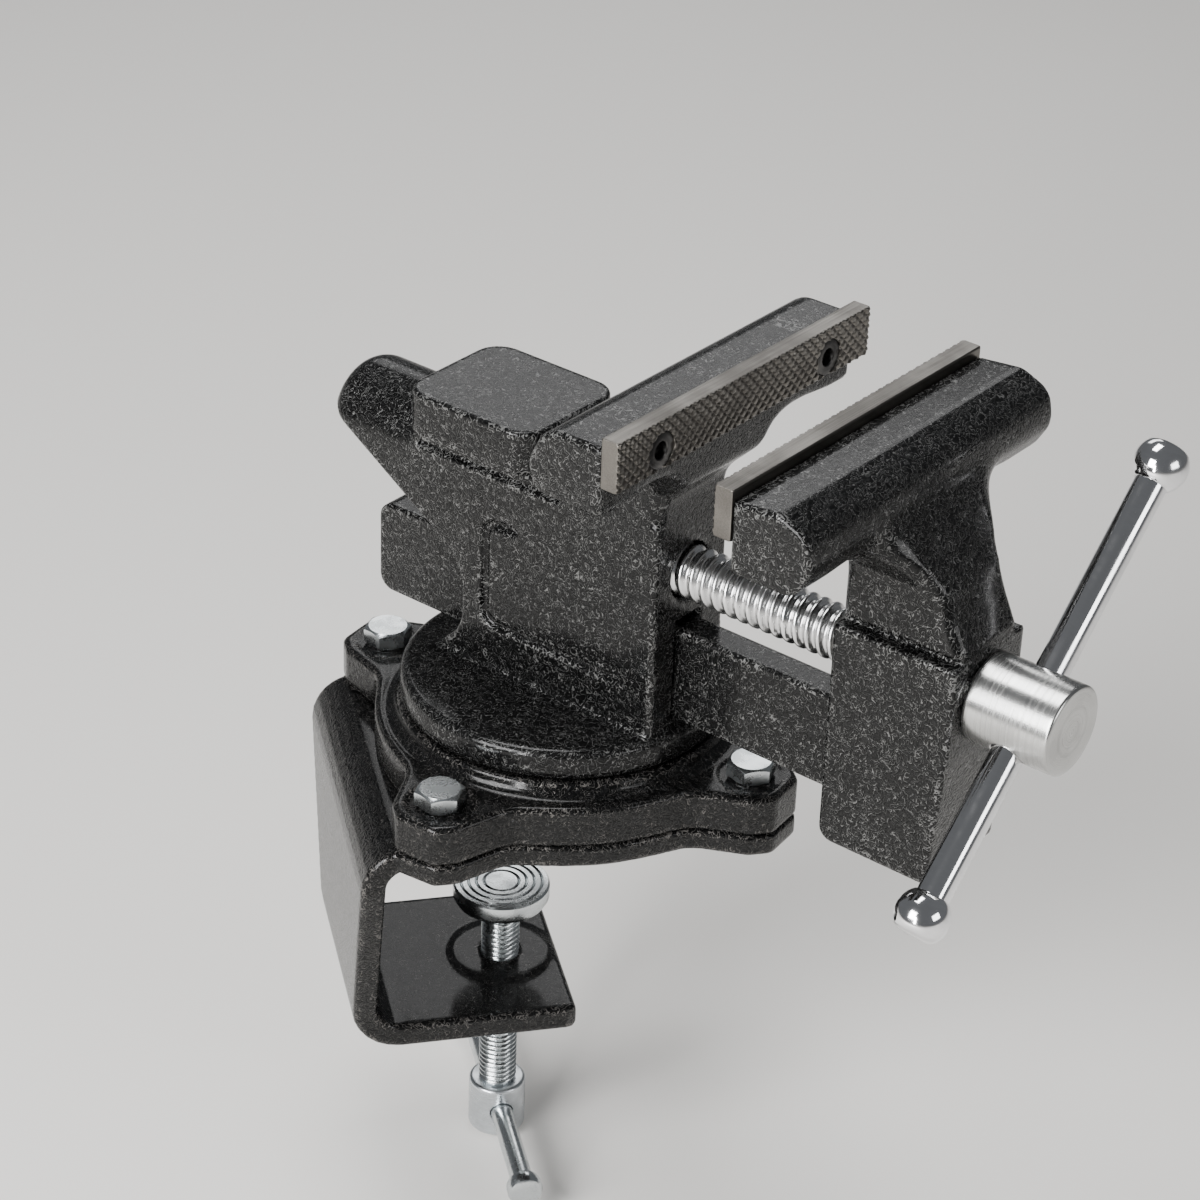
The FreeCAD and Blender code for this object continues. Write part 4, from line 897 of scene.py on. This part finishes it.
# ---------------------------------------------------------------- handle
# A polished rod that slides through the screw's head, with a knob pressed on each end:
# a ball cut flat on its outer side.
HANDLE_LONG = 138.5
HANDLE_SHIFT = 7.8
handle_way = (math.cos(HANDLE_LEAN), 0, math.sin(HANDLE_LEAN))
handle_middle = (0, HANDLE_AT, SCREW_HIGH)
polished = worked_metal("polished", (0.86, 0.86, 0.87), (0.70, 0.70, 0.71), 0.07, 0.16,
                        ("UV", (700, 6, 1)), 70, 0.4, 0.04)
rod_low, rod_high = HANDLE_SHIFT - HANDLE_LONG / 2, HANDLE_SHIFT + HANDLE_LONG / 2
ROD_RADIUS = 4.7
rod = [(0, rod_low), (4.2, rod_low), (ROD_RADIUS, rod_low + 0.5), (ROD_RADIUS, rod_high - 0.5),
       (4.2, rod_high), (0, rod_high)]
add_turned("handle_rod", "handle_bar", "handle", polished,
           [lathe(rod, handle_middle, handle_way, 64)])


def knob_profile(centre, way, ball, flat, rod_radius):
    """A knob: a short collar on the rod, a ball and a flat outer end with a
    rounded rim, as (radius, distance) pairs from the collar outward."""
    outer = [(0, flat)]
    last = math.pi - math.asin((rod_radius + 0.5) / ball)
    turn = np.linspace(math.acos(flat / ball), last, 14)
    wide = ball * math.sin(turn[0])
    rim = [(wide - 0.7, flat), (wide - 0.15, flat - 0.25)]
    ball_points = [(ball * math.sin(a), ball * math.cos(a)) for a in turn[1:]]
    foot = ball_points[-1][1] - 0.2
    collar = [(rod_radius + 0.1, foot), (rod_radius - 1.5, foot), (0, foot)]
    outline = outer + rim + ball_points + collar
    pairs = [(radius, centre + way * reach) for radius, reach in outline]
    return pairs[::-1] if way > 0 else pairs


for name, node, way in (("upper_knob", "handle_knob_upper", 1),
                        ("lower_knob", "handle_knob_lower", -1)):
    centre = HANDLE_SHIFT + way * HANDLE_LONG / 2
    add_turned(name, node, "handle", polished,
               [lathe(knob_profile(centre, way, 7.8, 5.6, ROD_RADIUS), handle_middle,
                      handle_way, 72)])

# ---------------------------------------------------------------- retaining ring and pin
# A collar and cross pin behind the jaw's counterbore, which pull the jaw along with the
# lead screw.  Plain turned steel.
dark_steel = worked_metal("dark_steel", (0.30, 0.29, 0.28), (0.13, 0.125, 0.12), 0.30, 0.5,
                          ("Object", (900, 900, 900)), 80, 0.5, 0.15)
for node in ("retaining_ring", "retaining_pin"):
    bpy.data.objects[node].material_slots[0].material = dark_steel

# ---------------------------------------------------------------- lead nut and its set screw
# A round cast-iron nut let into the column, kept from turning by a socket screw put in
# from the saddle.
sand_iron = worked_metal("sand_iron", (0.16, 0.15, 0.14), (0.07, 0.062, 0.055), 0.5, 0.75,
                         ("Object", (1300, 1300, 1300)), 140, 0.8, 0.6)
bpy.data.objects["lead_nut"].material_slots[0].material = sand_iron
socket_screw = [(0, -3.0), (1.5, -2.9), (1.5, -0.3), (1.75, 0), (2.6, 0), (2.95, -0.35),
                (2.95, -6.9), (0, -6.9)]
add_turned("set_screw", "nut_set_screw", "head", black_oxide,
           [lathe([(r, -high) for r, high in socket_screw], (0, -25.5, 103), (0, 0, -1), 40)])

# ---------------------------------------------------------------- pivot bolt and washer
# A bolt and a broad washer under the base that hold the turntable down on its ring.
# Plain turned steel, like the retaining ring.
for node in ("pivot_bolt", "pivot_washer"):
    bpy.data.objects[node].material_slots[0].material = dark_steel

# ---------------------------------------------------------------- base bolts
# Four zinc-plated hexagon bolts through the lugs, with a washer face under the head and
# a chamfer turned on its corners.
BOLT_FLAT = 13.0
BOLT_SEAT = 20.0


def hex_head(origin, low, high, flat, segments=72):
    """A bolt head: the radius follows a hexagon, the top edge is where a flat cone cuts
    its corners, and a round face stands under it."""
    angle = np.arange(segments) * 2 * math.pi / segments
    reach = flat / 2 / np.cos((angle + math.pi / 6) % (math.pi / 3) - math.pi / 6)
    rim = flat / 2 * 0.94
    crown = high - np.maximum(reach - rim, 0) * 0.5
    steps = ((rim, low), (rim, low + 0.5), (reach - 0.15, low + 0.5), (reach, low + 0.7),
             (reach, crown - 0.2), (reach - 0.25, crown), (rim * 0.97, high))
    radii = np.stack([radius + 0 * angle for radius, _ in steps])
    heights = np.stack([height + 0 * angle for _, height in steps])
    wheel = np.stack([-np.sin(angle), np.cos(angle), 0 * angle], 1)
    grid = np.array(origin, float) + radii[..., None] * wheel
    grid[..., 2] += heights
    poles = np.array(origin, float) + np.array([[0, 0, low], [0, 0, high - 0.15]])
    means = [(float(r.mean()), float(h.mean())) for r, h in zip(radii, heights)]
    rings = np.array([(0, low)] + means + [(0, high)])
    return np.concatenate([grid.reshape(-1, 3), poles]), *lathe_faces(len(radii), segments, rings)


zinc = worked_metal("zinc", (0.64, 0.67, 0.68), (0.52, 0.55, 0.56), 0.20, 0.32,
                    ("Object", (1500, 1500, 1500)), 160, 0.35, 0.12)
shells = []
for bu in (-LUG_BOLT, LUG_BOLT):
    for bv in (-LUG_BOLT, LUG_BOLT):
        shells.append(hex_head((bu, bv, 0), BOLT_SEAT, BOLT_SEAT + 5.4, BOLT_FLAT))
        shank = [(0, 0.5), (3.2, 0.5), (3.95, 1.3), (3.95, BOLT_SEAT + 0.3), (0, BOLT_SEAT + 0.3)]
        shells.append(lathe(shank, (bu, bv, 0), (0, 0, 1), 32))
add_turned("base_bolt_set", "base_bolts", "foot", zinc, shells, FOOT_TURN, 16)

# ---------------------------------------------------------------- lock screw and lever
# An M8 screw that presses on the spigot to stop the turntable, with a capped hub and a
# short taper lever.
shells = [threaded(4.0, 3.35, 1.25, 20.6, 57, (0, 0, LOCK_HIGH), (0, 1, 0), 32, 6),
          lathe([(0, 20.3), (2.6, 20.3), (3.3, 21), (3.3, 64.6), (0, 64.6)],
                (0, 0, LOCK_HIGH), (0, 1, 0), 32)]
add_turned("lock_stem", "lock_screw", "lock", zinc, shells, FOOT_TURN, 50)
hub = [(0, 64.7), (4.05, 64.7), (4.05, 58.2), (4.4, 57.8), (6.3, 57.8), (7, 58.6), (7, 64.6),
       (6.6, 65.3), (5.6, 65.75), (0, 65.8)]
lever = [(0, 5.0), (2.5, 5.0), (2.5, 9), (2.75, 20), (3.0, 31), (3.2, 34), (3.2, 36.2), (2.9, 37.6),
         (2.2, 38.6), (1.1, 39), (0, 39)]
shells = [lathe(hub, (0, 0, LOCK_HIGH), (0, 1, 0), 56),
          lathe(lever, (0, 61.8, LOCK_HIGH), (1, 0, 0), 40)]
add_turned("lock_handle", "lock_lever", "lock", black_oxide, shells, FOOT_TURN, 40)

# ---------------------------------------------------------------- clamp pad
# A zinc-plated steel foot that swivels on the screw's nose, with rings cut in its face
# to grip the bench.
pad_profile = [(0, -44.1), (5.1, -44.1), (5.1, -48.7), (5.4, -49), (12.8, -49), (14.0, -48.4),
               (15, -46.6), (15, -42.7), (14.4, -42.05)]
for groove in (12.6, 10.2, 7.8, 5.4):
    pad_profile += [(groove + 0.5, -42.0), (groove, -42.6), (groove - 0.5, -42.0)]
pad_profile.append((0, -42.0))
SCREW_PLACE = (BOSS_AT, 0, 0)
add_turned("bench_pad", "clamp_pad", "pad", zinc,
           [lathe(pad_profile, SCREW_PLACE, (0, 0, 1), 72)], FOOT_TURN)

# ---------------------------------------------------------------- clamp screw
# The screw that grips the bench from below: turned nose, fine thread and a cross-drilled
# head.  Zinc-plated steel.
TEE_HIGH = -126.5


def clamp_head_distance(u, v, w):
    """A drum with a rounded rim, less the hole for the T-bar."""
    drum = slab(np.hypot(u - BOSS_AT, v) - 9, w - TEE_HIGH, 9, 1.2)
    return carve(drum, np.hypot(u - BOSS_AT, w - TEE_HIGH) - 3.62, 0.5)


points, faces, _ = net_surface(clamp_head_distance, (-27, -9, -135.5), (-9, 9, -117.5), 0.5)
drum = mesh_piece("clamp_screw_head", points, faces, FOOT_TURN)
zinc_drum = worked_metal("zinc_drum", (0.62, 0.65, 0.68), (0.42, 0.44, 0.45), 0.26, 0.42,
                         ("Object", (60, 60, 2400)), 120, 0.5, 0.2)
drum.data.materials.append(zinc_drum)
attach(drum, "clamp_spindle")
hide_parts("clamp_screw")
shells = [threaded(6.0, 5.1, 1.75, -118, -49.6, SCREW_PLACE, (0, 0, 1), 36, 6),
          lathe([(0, -50.4), (5.0, -50.4), (5.0, -45), (4.4, -44.4), (0, -44.35)],
                SCREW_PLACE, (0, 0, 1), 48)]
add_turned("clamp_screw_rod", "clamp_screw", "clamp_spindle", zinc, shells,
           FOOT_TURN, 50)

# ---------------------------------------------------------------- T-bar
# A sliding bar through the clamp screw's head, with a button pressed on each end.
# Zinc-plated steel.
TEE_HALF = 43.0
tee_middle = (BOSS_AT, 0, TEE_HIGH)
tee = [(0, -TEE_HALF), (3.5, -TEE_HALF), (3.5, TEE_HALF), (0, TEE_HALF)]
add_turned("tee_rod", "clamp_tee_bar", "clamp_tee", zinc,
           [lathe(tee, tee_middle, (0, 1, 0), 48)], FOOT_TURN)
button = [(0, TEE_HALF), (4.6, TEE_HALF), (5.3, TEE_HALF + 0.5), (5.5, TEE_HALF + 1.4),
          (5.5, TEE_HALF + 3.8), (5.0, TEE_HALF + 4.9), (4.0, TEE_HALF + 5.4), (0, TEE_HALF + 5.5)]
other = [(radius, -reach) for radius, reach in button[::-1]]
add_turned("tee_buttons", "clamp_tee_knobs", "clamp_tee", zinc,
           [lathe(profile, tee_middle, (0, 1, 0), 48) for profile in (button, other)], FOOT_TURN)
